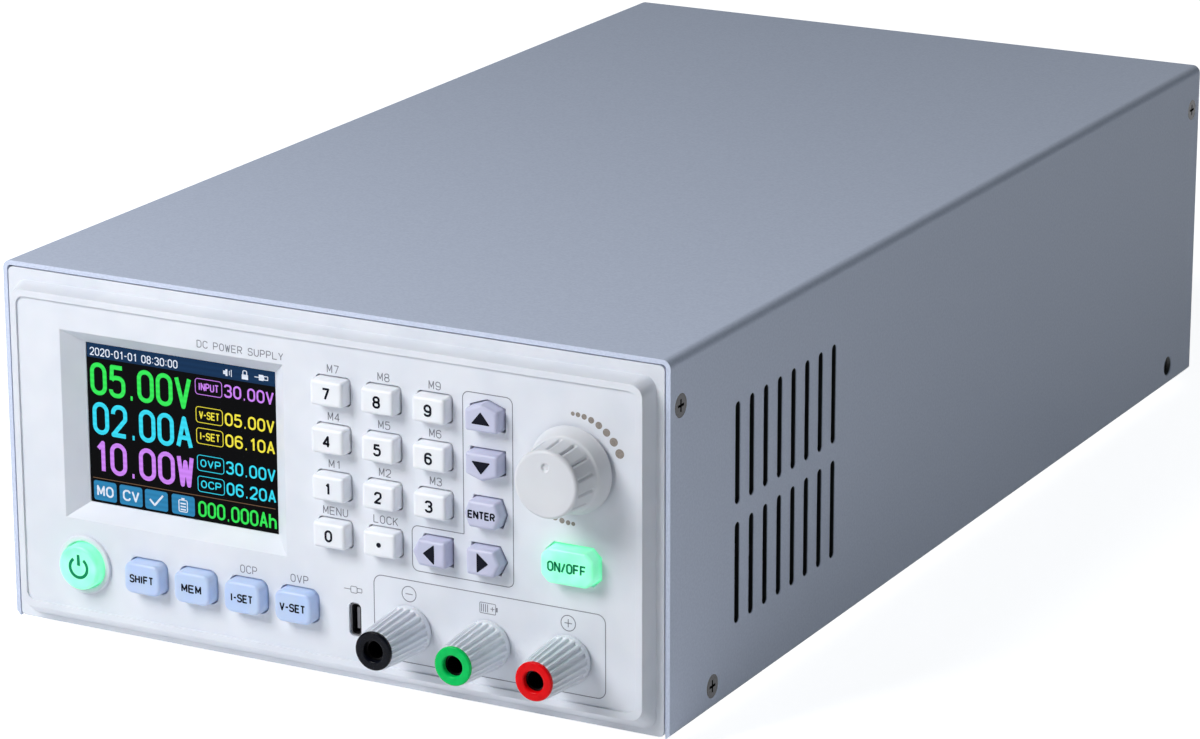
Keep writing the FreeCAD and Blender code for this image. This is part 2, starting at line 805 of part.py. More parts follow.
def make_front_panel():
    body = new_body("front_panel")
    low, top = "panel_gap", panel_top
    pad_outline(body, "XZ_Plane", "-skirt_depth",
                rectangle(f"-{panel_half}", low, panel_half, top, "panel_corner"), "skirt_depth")
    side = f"({panel_half} - ledge_side)"
    foot, head = f"({low} + ledge_bottom)", f"({top} - ledge_top)"
    base = new_sketch(body, "XZ_Plane")
    outline(base, rectangle(f"-{side}", foot, side, head, "block_corner"))
    rim = new_sketch(body, "XZ_Plane", "rim_rise")
    rim_side = f"({side} - draft_side)"
    rim_foot, rim_head = f"({foot} + bevel_bottom)", f"({head} - draft_side)"
    outline(rim, rectangle(f"-{rim_side}", rim_foot, rim_side, rim_head, "block_corner"))
    raised = body.newObject("PartDesign::AdditiveLoft", "panel_block")
    raised.Profile = base
    raised.Sections = [rim]
    raised.Ruled = True
    cut_outlines(body, "XZ_Plane", "rim_rise",
                 [rectangle(f"-{rim_side} + rim_width", f"{rim_foot} + rim_width",
                            f"{rim_side} - rim_width", f"{rim_head} - rim_width", "face_corner")],
                 "rim_rise - face_rise")
    cut_outlines(body, "XZ_Plane", "-ledge_wall",
                 [rectangle(f"-{panel_half} + skirt_wall", f"{low} + skirt_wall",
                            f"{panel_half} - skirt_wall", f"{top} - skirt_wall", "panel_corner")],
                 "skirt_depth")
    cut_outlines(body, "XZ_Plane", "face_rise - panel_wall",
                 [rectangle(f"-{rim_side} + cavity_margin", f"{rim_foot} + cavity_margin / 2",
                            f"{rim_side} - cavity_margin", f"{rim_head} - cavity_margin / 2",
                            "panel_corner")], "face_rise - panel_wall + ledge_wall")
    pad_outline(body, "XZ_Plane", "0",
                centred("window_x", "window_z",
                        "window_width + 2 * window_bevel_side + 2 * window_frame",
                        "window_height + 2 * window_bevel_top + 2 * window_frame"),
                "face_rise - panel_wall")
    make_window_bevel(body)
    openings = [shifted(shape("key_clear"), x, z) for label, x, z, shape in key_layout()]
    openings.append(centred("usb_x", "usb_z", "usb_width", "usb_height", "usb_width * 0.4"))
    for opening in openings:
        cut_outlines(body, "XZ_Plane", "face_rise", [opening], "panel_wall")
    cut_circles(body, "XZ_Plane", "face_rise",
                [("power_x", "power_z", "power_ring_sleeve + seat_gap"),
                 ("encoder_x", "encoder_z", "bushing_radius + seat_gap")]
                + [(x, "post_z", "stud_radius + stud_clear") for colour, x in post_places()],
                "panel_wall")
    make_panel_bosses(body)
    cut_circles(body, "YZ_Plane", "0", [("screw_front", "screw_top", "screw_radius + screw_clear")])


def make_window_bevel(body):
    """Sloping walls from the panel face down to the display."""
    mouth = new_sketch(body, "XZ_Plane", "face_rise")
    outline(mouth, centred("window_x", "window_z", "window_width + 2 * window_bevel_side",
                           "window_height + 2 * window_bevel_top"))
    throat = new_sketch(body, "XZ_Plane")
    outline(throat, centred("window_x", "window_z", "window_width", "window_height"))
    sloped = body.newObject("PartDesign::SubtractiveLoft", "window_bevel")
    sloped.Profile = mouth
    sloped.Sections = [throat]
    sloped.Ruled = True


def make_panel_bosses(body):
    drawing = new_sketch(body, "XZ_Plane", "-board_set")
    for x, z in board_boss_points():
        round_circle(drawing, x, z, "boss_radius")
    feature(body, "Pad", drawing, Length="board_set + face_rise - panel_wall")
    holes = new_sketch(body, "XZ_Plane", "-board_set")
    for x, z in board_boss_points():
        round_circle(holes, x, z, "bolt_radius + bolt_clear")
    feature(body, "Pocket", holes, Length="bolt_length", Reversed=True)
    lips = new_sketch(body, "XZ_Plane", "-skirt_depth")
    for x in ("-lip_screw_x", "lip_screw_x"):
        round_circle(lips, x, "lip_screw_z", "boss_radius")
    feature(body, "Pad", lips, Length="skirt_depth - ledge_wall / 2")
    pilots = new_sketch(body, "XZ_Plane", "-skirt_depth")
    for x in ("-lip_screw_x", "lip_screw_x"):
        round_circle(pilots, x, "lip_screw_z", "bolt_radius + bolt_clear")
    feature(body, "Pocket", pilots, Length="bolt_length", Reversed=True)


def front_edges(reach):
    """Test for the edges that lie in the key's front face."""
    return lambda edge: abs(edge.BoundBox.YMax + reach) < 0.001


def key_stem(body):
    """Stem from the lip back into its switch."""
    pad_circle(body, "XZ_Plane", f"-({stem_end} + face_rise)", "0", "0", "stem_radius",
               f"{stem_end} + face_rise - panel_wall - key_lip_gap")


def make_key(label, x, z, shape):
    """Cap, retaining lip behind the panel and stem into the switch, moulded as one."""
    body = new_body(label, x, "-face_rise", z)
    pad_outline(body, "XZ_Plane", lip_back, shape("key_lip"), "key_lip_thick")
    key_stem(body)
    cap = pad_outline(body, "XZ_Plane", "-(panel_wall + key_lip_gap)", shape("0"),
                      "panel_wall + key_lip_gap + key_rise")
    body.Tip = soften(body, cap, "key_soft", front_edges(size("key_rise")))


def make_power_button():
    body = new_body("power_button", "power_x", "-face_rise", "power_z")
    pad_circle(body, "XZ_Plane", lip_back, "0", "0", "power_ring_sleeve", "key_lip_thick")
    key_stem(body)
    cap = pad_circle(body, "XZ_Plane", "-(panel_wall + key_lip_gap)", "0", "0", "power_radius",
                     "panel_wall + key_lip_gap + key_rise")
    body.Tip = soften(body, cap, "key_soft", front_edges(size("key_rise")))


def make_power_ring():
    body = new_body("power_ring", "power_x", "-face_rise", "power_z")
    pad_circle(body, "XZ_Plane", "0", "0", "0", "power_ring_radius", "power_ring_rise")
    pad_circle(body, "XZ_Plane", "-panel_wall", "0", "0", "power_ring_sleeve", "panel_wall")
    cut_circles(body, "XZ_Plane", "0", [("0", "0", "power_radius + key_clear")])


def make_display():
    glass = mid_block("window_x", "seat_gap", "window_z - window_height / 2 - glass_margin",
                      "window_width + 2 * glass_margin", "glass_thick",
                      "window_height + 2 * glass_margin")
    named("display_glass", glass)
    behind = "(2 * seat_gap + glass_thick)"
    width, height = "(window_width + 2 * module_margin)", "(window_height + 2 * module_margin)"
    tub = mid_block("window_x", behind, f"window_z - {height} / 2", width, "module_thick", height)
    legs = [rod(f"window_x {a} ({width} / 2 - 3)", f"{behind} + module_thick - 0.5",
                f"window_z {b} ({height} / 2 - 3)", "2",
                f"board_set - seat_gap - {behind} - module_thick + 0.5")
            for a in "+-" for b in "+-"]
    named("display_module", joined(tub, *legs))


def make_control_board():
    body = new_body("control_board")
    half = f"({panel_half} - board_margin - skirt_wall)"
    low, high = "(lip_screw_z + boss_radius + key_clear)", f"({panel_top} - board_margin)"
    pad_outline(body, "XZ_Plane", f"-{board_back}", rectangle(f"-{half}", low, half, high,
                                                            "panel_corner"), "board_thick")
    holes = [(x, z, "bolt_radius + bolt_clear") for x, z in board_boss_points()]
    holes += [(x, "post_z", "stud_radius + 1") for colour, x in post_places()]
    cut_circles(body, "XZ_Plane", "-board_set", holes, "board_thick")


def make_key_switches():
    places = [(x, z) for label, x, z, shape in key_layout()] + [("power_x", "power_z")]
    housings = []
    for x, z in places:
        house_block = mid_block(x, "board_set - switch_height", f"{z} - switch_side / 2",
                                "switch_side", "switch_height", "switch_side")
        bore = rod(x, "board_set - switch_height - 1", z, "stem_radius + stem_clear",
                   "switch_height + 1 - switch_floor")
        housings.append(less(house_block, bore))
    group("key_switches", housings)


def make_usb_port():
    """Metal shell of a small USB socket with its contact tongue."""
    front = "(usb_set - face_rise)"
    width, height = "(usb_width - 2 * usb_gap)", "(usb_height - 2 * usb_gap)"
    body = new_body("usb_port", "usb_x", front, "usb_z")
    reach = f"(board_set - seat_gap - {front})"
    shell = centred("0", "0", width, height, f"({width} * 0.4)")
    pad_outline(body, "XZ_Plane", f"-{reach}", shell, reach)
    inner_width, inner_height = f"({width} - 2 * usb_wall)", f"({height} - 2 * usb_wall)"
    hollow = centred("0", "0", inner_width, inner_height, f"({inner_width} * 0.35)")
    cut_outlines(body, "XZ_Plane", "0", [hollow], f"{reach} - 1.5")
    tongue = centred("0", "0", "usb_tongue", f"{inner_height} - 2")
    pad_outline(body, "XZ_Plane", f"-{reach} + 1", tongue, f"{reach} - 2")


# ---- encoder and knob -------------------------------------------------------------------------

def make_encoder():
    inner = f"({wall_back} + encoder_gap)"
    depth = f"(board_set - {inner})"
    shell = mid_block("encoder_x", inner, "encoder_z - encoder_side / 2", "encoder_side", depth,
                      "encoder_side")
    bushing = rod("encoder_x", f"{inner} - bushing_reach", "encoder_z", "bushing_radius",
                  "bushing_reach + 0.5")
    bore = rod("encoder_x", f"{inner} - bushing_reach - 1", "encoder_z",
               "shaft_radius + shaft_clear", f"bushing_reach + 1 + {depth} - 1")
    named("encoder_body", less(joined(shell, bushing), bore))
    shaft_end = f"({inner} + shaft_inner)"
    named("encoder_plunger", rod("encoder_x", shaft_end, "encoder_z", "plunger_radius",
                                 "plunger_thick - push_travel / 2"))
    knob_roof_y = "(face_rise + knob_height - knob_roof)"
    shaft = rod("encoder_x", f"-{knob_roof_y} + 0.2", "encoder_z", "shaft_radius",
                f"{shaft_end} - 0.02 + {knob_roof_y} - 0.2")
    named("encoder_shaft", shaft)


def make_knob():
    """Skirted knob turned about its axis, fluted grip, dimple on the face, socket for the shaft."""
    body = new_body("knob", "encoder_x", "-face_rise", "encoder_z")
    skirt = "(knob_gap + knob_skirt_height)"
    face = "knob_height"
    hub = "(shaft_radius + shaft_clear)"
    roof = "(knob_height - knob_roof)"
    profile = [(hub, "-(bushing_reach + 0.6)"), ("knob_hollow", "-(bushing_reach + 0.6)"),
               ("knob_hollow", "-knob_gap"), ("knob_skirt_radius", "-knob_gap"),
               ("knob_skirt_radius - 0.2", "-knob_gap - 1"),
               ("knob_grip_base + 0.5", f"-{skirt}"), ("knob_grip_base", f"-{skirt}"),
               ("knob_radius", f"-{face} + 0.8"), ("knob_radius - 0.7", f"-{face}"),
               ("0", f"-{face}"), ("0", f"-{roof}"), (hub, f"-{roof}")]
    turned(body, profile)
    flute = cut_flute(body, "knob_flute_radius", "knob_grip_base - 0.25", skirt)
    polar(body, flute, "Y_Axis", "knob_flutes")
    dimple = new_sketch(body, "XZ_Plane", "knob_height")
    round_circle(dimple, "0", "knob_radius * 0.5", "knob_dimple")
    body.Tip = feature(body, "Pocket", dimple, Length="0.35")


def cut_flute(body, radius, distance, start):
    drawing = new_sketch(body, "XZ_Plane", start)
    round_circle(drawing, "0", distance, radius)
    return feature(body, "Pocket", drawing, Type=1, Reversed=True)


# ---- binding posts ----------------------------------------------------------------------------

def make_post(colour, x):
    tip = "(face_rise + post_reach - stud_setback)"
    head = rod(x, "-face_rise - stud_shoulder_thick", "post_z", "stud_shoulder",
               "stud_shoulder_thick")
    barrel = rod(x, f"-{tip}", "post_z", "stud_radius", f"{tip} + stud_tail")
    socket = rod(x, f"-{tip} - 1", "post_z", "socket_radius", "socket_depth + 1")
    named(f"post_stud_{colour}", less(joined(head, barrel), socket))
    make_post_ring(colour, x)
    make_post_cap(colour, x)


def make_post_ring(colour, x):
    """Coloured end insert: a flange in front and a shank let into the cap."""
    body = new_body(f"post_ring_{colour}", x, "-face_rise - post_reach", "post_z")
    profile = [("post_ring_bore", "0"), ("post_ring_radius - 0.3", "0"),
               ("post_ring_radius", "0.3"), ("post_ring_radius", "post_ring_thick"),
               ("post_ring_shank", "post_ring_thick"),
               ("post_ring_shank", "post_ring_thick + post_ring_seat"),
               ("stud_radius + 0.2", "post_ring_thick + post_ring_seat"),
               ("stud_radius + 0.2", "stud_setback - 0.25"),
               ("post_ring_bore", "stud_setback - 0.25")]
    turned(body, profile)


def make_post_cap(colour, x):
    """Tapered fluted cap that screws along the stud, plain collar at its foot."""
    body = new_body(f"post_cap_{colour}", x, "-face_rise", "post_z")
    front = "(post_reach - post_ring_thick - 0.05)"
    bore, seat = "(stud_radius + stud_clear)", "(post_ring_shank + stud_clear)"
    floor = f"({front} - post_ring_seat)"
    shoulder = "(stud_shoulder + 0.15)"
    step = "(stud_shoulder_thick + post_gap)"
    profile = [(bore, f"-{step}"), (shoulder, f"-{step}"), (shoulder, "-post_gap"),
               ("post_cap_base", "-post_gap"), ("post_cap_base", "-post_gap - post_collar"),
               ("post_cap_front", f"-{front}"), (seat, f"-{front}"), (seat, f"-{floor}"),
               (bore, f"-{floor}")]
    turned(body, profile)
    flute = cut_flute(body, "post_flute_radius", "post_cap_front + 0.3",
                      "post_gap + post_collar")
    polar(body, flute, "Y_Axis", "post_flutes")


def make_panel_nuts():
    nuts = []
    back = f"({wall_back} + 0.02)"
    for colour, x in post_places():
        prism = document.addObject("Part::Prism", "nut")
        prism.Polygon = 6
        prism.Placement = FreeCAD.Placement(FreeCAD.Vector(), turns["back"])
        prism.setExpression("Circumradius", bound("nut_flats / 1.732"))
        prism.setExpression("Height", bound("nut_thick"))
        place(prism, x, back, "post_z")
        bore = rod(x, f"{back} - 1", "post_z", "stud_radius + 0.02", "nut_thick + 2")
        nuts.append(less(prism, bore))
    group("panel_nuts", nuts)


# ---- inside -----------------------------------------------------------------------------------

def spacer_points():
    half = "(main_board_width / 2 - spacer_inset)"
    rows = ("main_board_y + spacer_inset", "main_board_y + main_board_depth - spacer_inset")
    return [(x, y) for x in (f"-{half}", half) for y in rows]


def make_main_board():
    board = mid_block("0", "main_board_y", main_board_z, "main_board_width", "main_board_depth",
                      "board_thick")
    holes = [rod(x, y, f"{main_board_z} - 1", "bolt_radius + bolt_clear", "board_thick + 2", "up")
             for x, y in spacer_points()]
    named("main_board", less(board, *holes))


def make_heat_sink():
    top = f"({main_board_z} + board_thick)"
    x, y = "sink_x", "(main_board_y + sink_set)"
    base = mid_block(x, y, top, "sink_width", "sink_depth", "sink_base")
    pitch = "((sink_width - fin_wall) / (fin_count - 1))"
    fins = [mid_block(f"{x} - sink_width / 2 + fin_wall / 2 + {at} * {pitch}", y,
                      f"{top} + sink_base / 2", "fin_wall", "sink_depth",
                      "sink_height - sink_base / 2") for at in range(driving["fin_count"])]
    named("heat_sink", joined(base, *fins))


def make_board_parts():
    top = f"({main_board_z} + board_thick)"
    coil = rod("coil_x", "main_board_y + coil_set", top, "coil_radius", "coil_height", "up")
    eye = rod("coil_x", "main_board_y + coil_set", f"{top} - 1", "coil_radius / 2",
              "coil_height + 2", "up")
    parts = [less(coil, eye)]
    for at in range(driving["can_count"]):
        parts.append(rod(f"can_x + {at} * can_pitch", "main_board_y + can_set", top,
                         "can_radius", "can_height", "up"))
    group("board_parts", parts)


def make_supply():
    """Open-sided tin of the mains converter, standing on the tray, with a slotted lid."""
    outer = mid_block("0", "supply_y", floor_top, "supply_width", "supply_depth", "supply_height")
    hollow = mid_block("0", "supply_y - 1", f"{floor_top} + supply_wall",
                       "supply_width - 2 * supply_wall", "supply_depth + 2",
                       "supply_height - 2 * supply_wall")
    vents = [mid_block("0", f"supply_y + {at + 1} * lid_slot_pitch",
                       f"{floor_top} + supply_height - 2 * supply_wall", "supply_width - 24",
                       "lid_slot_width", "4 * supply_wall")
             for at in range(driving["lid_slot_count"])]
    named("supply_case", less(outer, hollow, *vents))
    card = mid_block("0", "supply_y + 2", f"{floor_top} + supply_wall", "supply_width - 6",
                     "supply_depth - 4", "board_thick")
    middle = f"({floor_top} + supply_wall + board_thick / 2)"
    core = mid_block("core_x", "supply_y + core_set", middle, "core_width", "core_depth",
                     "core_height")
    tanks = [rod("tank_x", f"supply_y + tank_set + {at} * tank_pitch", middle, "tank_radius",
                 "tank_height", "up") for at in range(driving["tank_count"])]
    named("supply_board", joined(card, core, *tanks))


# ---- rear fan ---------------------------------------------------------------------------------

def make_fan():
    front = f"({rear_inner} - seat_gap - fan_thick)"
    block_outer = mid_block("fan_x", front, "fan_z - fan_side / 2", "fan_side", "fan_thick",
                            "fan_side")
    bore = rod("fan_x", f"{front} - 1", "fan_z", "fan_bore", "fan_thick + 2")
    holes = [rod(x, f"{front} - 1", z, "bolt_radius + bolt_clear", "fan_thick + 2")
             for x, z in fan_screw_points()]
    cup = rod("fan_x", front, "fan_z", "hub_radius", "strut_depth")
    struts = [mid_block("fan_x", front, "fan_z - fan_bore - 0.5", "strut_width", "strut_depth",
                        "2 * fan_bore + 1"),
              mid_block("fan_x", front, "fan_z - strut_width / 2", "2 * fan_bore + 1",
                        "strut_depth", "strut_width")]
    bearing = rod("fan_x", f"{front} - 1", "fan_z", "axle_radius + shaft_clear", "strut_depth + 2")
    named("fan_frame", less(joined(less(block_outer, bore, *holes), cup, *struts), bearing))
    make_rotor(front)
    make_guard()


def make_rotor(front):
    start = f"({front} + strut_depth + 0.4)"
    span = "(fan_thick - strut_depth - 1.2)"
    hub = rod("fan_x", start, "fan_z", "hub_radius", span)
    axle = rod("fan_x", f"{front} + 0.3", "fan_z", "axle_radius", f"{start} - {front}")
    blades = []
    for at in range(driving["blade_count"]):
        blade = document.addObject("Part::Box", "blade")
        turn = FreeCAD.Rotation(FreeCAD.Vector(0, 1, 0), 360 * at / driving["blade_count"])
        lean = FreeCAD.Rotation(FreeCAD.Vector(0, 0, 1), size("blade_pitch"))
        wall, reach, depth = size("blade_wall"), size("rotor_radius"), size(span) / 0.85
        middle = FreeCAD.Vector(size("fan_x"), size(f"{start} + {span} / 2 + {front_y}"),
                                size("fan_z + foot_height"))
        corner = FreeCAD.Vector(-wall / 2, -depth / 2, size("hub_radius") - 1)
        blade.Length = wall
        blade.Width = depth
        blade.Height = reach - size("hub_radius") + 1
        spin = turn.multiply(lean)
        blade.Placement = FreeCAD.Placement(middle + spin.multVec(corner), spin)
        blades.append(blade)
    disc = rod("fan_x", start, "fan_z", "rotor_radius", span)
    wheel = document.addObject("Part::Common", "wheel")
    wheel.Base = joined(hub, *blades)
    wheel.Tool = disc
    named("fan_rotor", joined(wheel, axle))


def make_guard():
    """Wire finger guard: rings on two crossed bars, with screw eyes at the corners."""
    outer = f"({rear_face} + guard_depth - guard_wire)"
    bar = f"({outer} - 1.5 * guard_wire)"
    parts = []
    for at in range(driving["guard_rings"]):
        ring = document.addObject("Part::Torus", "ring")
        ring.Placement = FreeCAD.Placement(FreeCAD.Vector(), turns["back"])
        ring.setExpression("Radius1", bound(f"fan_bore - 1 - {at} * guard_pitch"))
        ring.setExpression("Radius2", bound("guard_wire"))
        parts.append(place(ring, "fan_x", outer, "fan_z"))
    reach = "(fan_hole_pitch * 0.7071)"
    for at in range(4):
        spoke = document.addObject("Part::Cylinder", "spoke")
        lean = FreeCAD.Rotation(FreeCAD.Vector(0, 1, 0), 45 + 90 * at)
        spoke.Placement = FreeCAD.Placement(FreeCAD.Vector(), lean)
        spoke.setExpression("Radius", bound("guard_wire"))
        spoke.setExpression("Height", bound(f"{reach} - bolt_head - 0.6"))
        parts.append(place(spoke, "fan_x", bar, "fan_z"))
    for x, z in fan_screw_points():
        eye = rod(x, f"{rear_face} + 0.05", z, "guard_eye", "guard_depth - 0.9 - 1")
        hole = rod(x, rear_face, z, "bolt_radius + bolt_clear", "guard_depth")
        parts.append(less(eye, hole))
    named("fan_guard", joined(*parts))


# ---- mains inlet ------------------------------------------------------------------------------

def make_inlet():
    """Snap-in moulding: three-pin socket below, rocker switch above."""
    flange = mid_block("inlet_x", f"{rear_face} + 0.05",
                       "inlet_z - inlet_height / 2 - inlet_flange_margin",
                       "inlet_width + 2 * inlet_flange_margin", "inlet_flange - 0.05",
                       "inlet_height + 2 * inlet_flange_margin")
    trunk = mid_block("inlet_x", f"{rear_face} + inlet_flange - inlet_depth",
                      "inlet_z - inlet_height / 2", "inlet_width", "inlet_depth - 0.5",
                      "inlet_height")
    mouth = f"({rear_face} + inlet_flange)"
    middle = "(inlet_z + socket_z)"
    cavity = mid_block("inlet_x", f"{mouth} - cavity_depth", f"{middle} - cavity_height / 2",
                       "cavity_width", "cavity_depth + 1", "cavity_height")
    well = mid_block("inlet_x", f"{mouth} - rocker_well", "inlet_z + rocker_z - rocker_height / 2"
                     " - rocker_clear", "rocker_width + 2 * rocker_clear", "rocker_well + 1",
                     "rocker_height + 2 * rocker_clear")
    axle = rod("inlet_x", f"{mouth} - rocker_axis", "inlet_z + rocker_z - rocker_height / 2 - 2",
               "rocker_pin + shaft_clear", "rocker_height + 4", "up")
    pins = inlet_pin_boxes(mouth, middle, "0.03")
    named("mains_inlet", less(joined(flange, trunk), cavity, well, axle, *pins))
    group("inlet_pins", inlet_pin_boxes(mouth, middle, "0"))
    make_rocker(mouth)


def inlet_pin_boxes(mouth, middle, grow):
    """Live and neutral below, earth in the middle above; each runs out behind the moulding."""
    places = [("-pin_spread", "-pin_offset"), ("pin_spread", "-pin_offset"), ("0", "pin_offset")]
    return [mid_block(f"inlet_x + {x}", f"{mouth} - cavity_depth - 16",
                      f"{middle} + {z} - pin_height / 2 - {grow}", f"pin_gauge + 2 * {grow}",
                      "pin_length + 16", f"pin_height + 2 * {grow}") for x, z in places]


def make_rocker(mouth):
    """See-saw cap whose two faces meet at a shallow angle; it rests tipped to one side."""
    body = new_body("mains_rocker", "inlet_x", f"{mouth} - rocker_axis", "inlet_z + rocker_z")
    half, rise = "(rocker_width / 2)", "rocker_axis"
    wings = [(f"-{half} * 0.7", "-rocker_axis"), (f"{half} * 0.7", "-rocker_axis"),
             (half, f"{rise} + 0.6"), ("0", f"{rise} - 0.6"), (f"-{half}", f"{rise} + 0.6")]
    pad_outline(body, "XY_Plane", "-rocker_height / 2", wings, "rocker_height")
    pad_circle(body, "XY_Plane", "-rocker_height / 2 - 1.6", "0", "0", "rocker_pin",
               "rocker_height + 3.2")
    body.setExpression("Placement.Rotation.Angle", bound("rocker_tilt"))


# ---- small screws -----------------------------------------------------------------------------

def pan_screw(x, y, z, length, way):
    """Round-headed screw; (x, y, z) is under its head and way is where its shank points."""
    opposite = {"back": "front", "front": "back", "up": "down", "down": "up"}[way]
    shank_turn = turns.get(way) or FreeCAD.Rotation(FreeCAD.Vector(1, 0, 0), 180)
    head_turn = turns.get(opposite) or FreeCAD.Rotation(FreeCAD.Vector(1, 0, 0), 180)
    made = []
    for turn, radius, long in ((shank_turn, "bolt_radius", length),
                               (head_turn, "bolt_head", "bolt_head_thick")):
        part = document.addObject("Part::Cylinder", "screw")
        part.Placement = FreeCAD.Placement(FreeCAD.Vector(), turn)
        part.setExpression("Radius", bound(radius))
        part.setExpression("Height", bound(long))
        made.append(place(part, x, y, z))
    return joined(*made)


def make_fixing_screws():
    screws = []
    for x, z in board_boss_points():
        screws.append(pan_screw(x, f"{board_back} + 0.02", z, "bolt_length", "front"))
    for x in ("-lip_screw_x", "lip_screw_x"):
        screws.append(pan_screw(x, "skirt_depth + panel_gap + sheet_wall + 0.02", "lip_screw_z",
                                "bolt_length", "front"))
    for x, y in spacer_points():
        screws.append(pan_screw(x, y, f"{main_board_z} + board_thick + 0.02", "bolt_length",
                                "down"))
    for x, z in fan_screw_points():
        screws.append(pan_screw(x, f"{rear_face} + guard_depth - 1.8", z, "bolt_long", "front"))
    group("fixing_screws", screws)


def check_document():
    """Stop when any object failed or a sketched cut removed nothing."""
    for thing in document.Objects:
        faults = [state for state in thing.State if state in ("Invalid", "Error")]
        if faults:
            raise RuntimeError(f"{thing.Label} is {faults[0]}")
        if thing.TypeId in ("PartDesign::Pocket", "PartDesign::Groove"):
            if thing.Shape.Volume > thing.BaseFeature.Shape.Volume - 0.001:
                raise RuntimeError(f"{thing.Label} cuts nothing")
    for piece in pieces:
        if piece.Shape.isNull() or not piece.Shape.isValid():
            raise RuntimeError(f"{piece.Label} has no valid shape")


make_cover()
make_tray()
make_feet()
make_rear_panel()
make_cover_screws()
make_front_panel()
make_display()
make_control_board()
for layout in key_layout():
    make_key(*layout)
make_power_button()
make_power_ring()
make_key_switches()
make_usb_port()
make_encoder()
make_knob()
for post in post_places():
    make_post(*post)
make_panel_nuts()
make_main_board()
make_heat_sink()
make_board_parts()
make_supply()
make_fan()
make_inlet()
make_fixing_screws()

document.recompute()
check_document()
os.makedirs("parts", exist_ok=True)
for piece in pieces:
    piece.Shape.exportStep(f"parts/{piece.Label}.step")
print(len(pieces), "pieces written")
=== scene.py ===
import math

import bpy
import numpy as np
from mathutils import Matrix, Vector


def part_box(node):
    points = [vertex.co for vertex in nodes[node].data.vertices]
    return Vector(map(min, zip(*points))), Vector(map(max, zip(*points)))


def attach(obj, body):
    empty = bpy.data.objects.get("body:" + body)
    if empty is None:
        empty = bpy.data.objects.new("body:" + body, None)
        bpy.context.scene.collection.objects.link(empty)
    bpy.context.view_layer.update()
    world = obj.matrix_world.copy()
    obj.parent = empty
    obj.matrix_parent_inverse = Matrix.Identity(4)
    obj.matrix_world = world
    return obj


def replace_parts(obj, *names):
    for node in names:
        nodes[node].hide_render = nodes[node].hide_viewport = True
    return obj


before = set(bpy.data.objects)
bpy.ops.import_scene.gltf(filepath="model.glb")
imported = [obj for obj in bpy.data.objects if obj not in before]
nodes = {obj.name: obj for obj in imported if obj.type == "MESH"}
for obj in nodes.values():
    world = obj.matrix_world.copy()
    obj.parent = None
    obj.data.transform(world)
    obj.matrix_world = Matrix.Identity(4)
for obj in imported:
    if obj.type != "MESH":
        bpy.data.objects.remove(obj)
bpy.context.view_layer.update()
mm = 0.001
hidden = 0.05 * mm  # how far a printed solid reaches into the surface below it
print("frame loaded,", len(nodes), "nodes")


# a long lens a metre away, in front, to the right and a little above
view = {
    "place": (496.30, -941.94, 359.44),
    "turn": (73.439, -0.331, 26.755),
    "lens": 135.71,
    "shift": (-0.1026, -0.0272),
}


def placed(name, data):
    # an object that holds the data, in the scene
    thing = bpy.data.objects.new(name, data)
    bpy.context.scene.collection.objects.link(thing)
    return thing


def makeCamera():
    data = bpy.data.cameras.new("viewCamera")
    data.lens = view["lens"]
    data.sensor_width = 36
    data.shift_x, data.shift_y = view["shift"]
    data.clip_start, data.clip_end = 0.05, 20
    camera = placed("viewCamera", data)
    camera.location = [part * mm for part in view["place"]]
    camera.rotation_euler = [math.radians(part) for part in view["turn"]]
    bpy.context.scene.camera = camera


makeCamera()


def boxOf(name):
    # a node's lowest and highest corners and its middle
    low, high = (np.array(corner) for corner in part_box(name))
    return low, high, (low + high) / 2


def softPath(points, radius, steps, closed=True):
    # Each corner becomes an arc: its centre lies on the bisector, and the arc sweeps from the side
    # before to the side after by the sine rule between the two end directions. The second result
    # is the outward direction at each point, from the arc's centre.
    points = np.asarray(points, float)
    radius = np.broadcast_to(np.asarray(radius, float), len(points))
    back = np.roll(points, 1, axis=0) - points
    ahead = np.roll(points, -1, axis=0) - points
    back /= np.linalg.norm(back, axis=1, keepdims=True)
    ahead /= np.linalg.norm(ahead, axis=1, keepdims=True)
    half = np.arccos(np.clip((back * ahead).sum(axis=1), -1, 1)) / 2
    bisector = back + ahead
    bisector /= np.linalg.norm(bisector, axis=1, keepdims=True)
    centre = points + bisector * (radius / np.sin(half))[:, None]
    reach = (radius / np.tan(half))[:, None]
    first = points + back * reach - centre
    last = points + ahead * reach - centre
    sweep = math.pi - 2 * half
    share = np.linspace(0, 1, steps)[None, :]
    near = np.sin((1 - share) * sweep[:, None]) / np.sin(sweep)[:, None]
    far = np.sin(share * sweep[:, None]) / np.sin(sweep)[:, None]
    spoke = near[..., None] * first[:, None, :] + far[..., None] * last[:, None, :]
    path = centre[:, None, :] + spoke
    outward = spoke / radius[:, None, None]
    if closed:
        return path.reshape(-1, 2), outward.reshape(-1, 2)
    inner = path[1:-1].reshape(-1, 2)
    return np.vstack([points[:1], inner, points[-1:]]), None


def gridFaces(rows, columns, loopRows=False):
    # quads between neighbouring rows, each row closed on itself
    down = np.arange(rows if loopRows else rows - 1)[:, None]
    across = np.arange(columns)[None, :]
    nextDown, nextAcross = (down + 1) % rows, (across + 1) % columns
    corners = [down * columns + across, down * columns + nextAcross,
               nextDown * columns + nextAcross, nextDown * columns + across]
    return np.stack(np.broadcast_arrays(*corners), axis=-1).reshape(-1, 4)


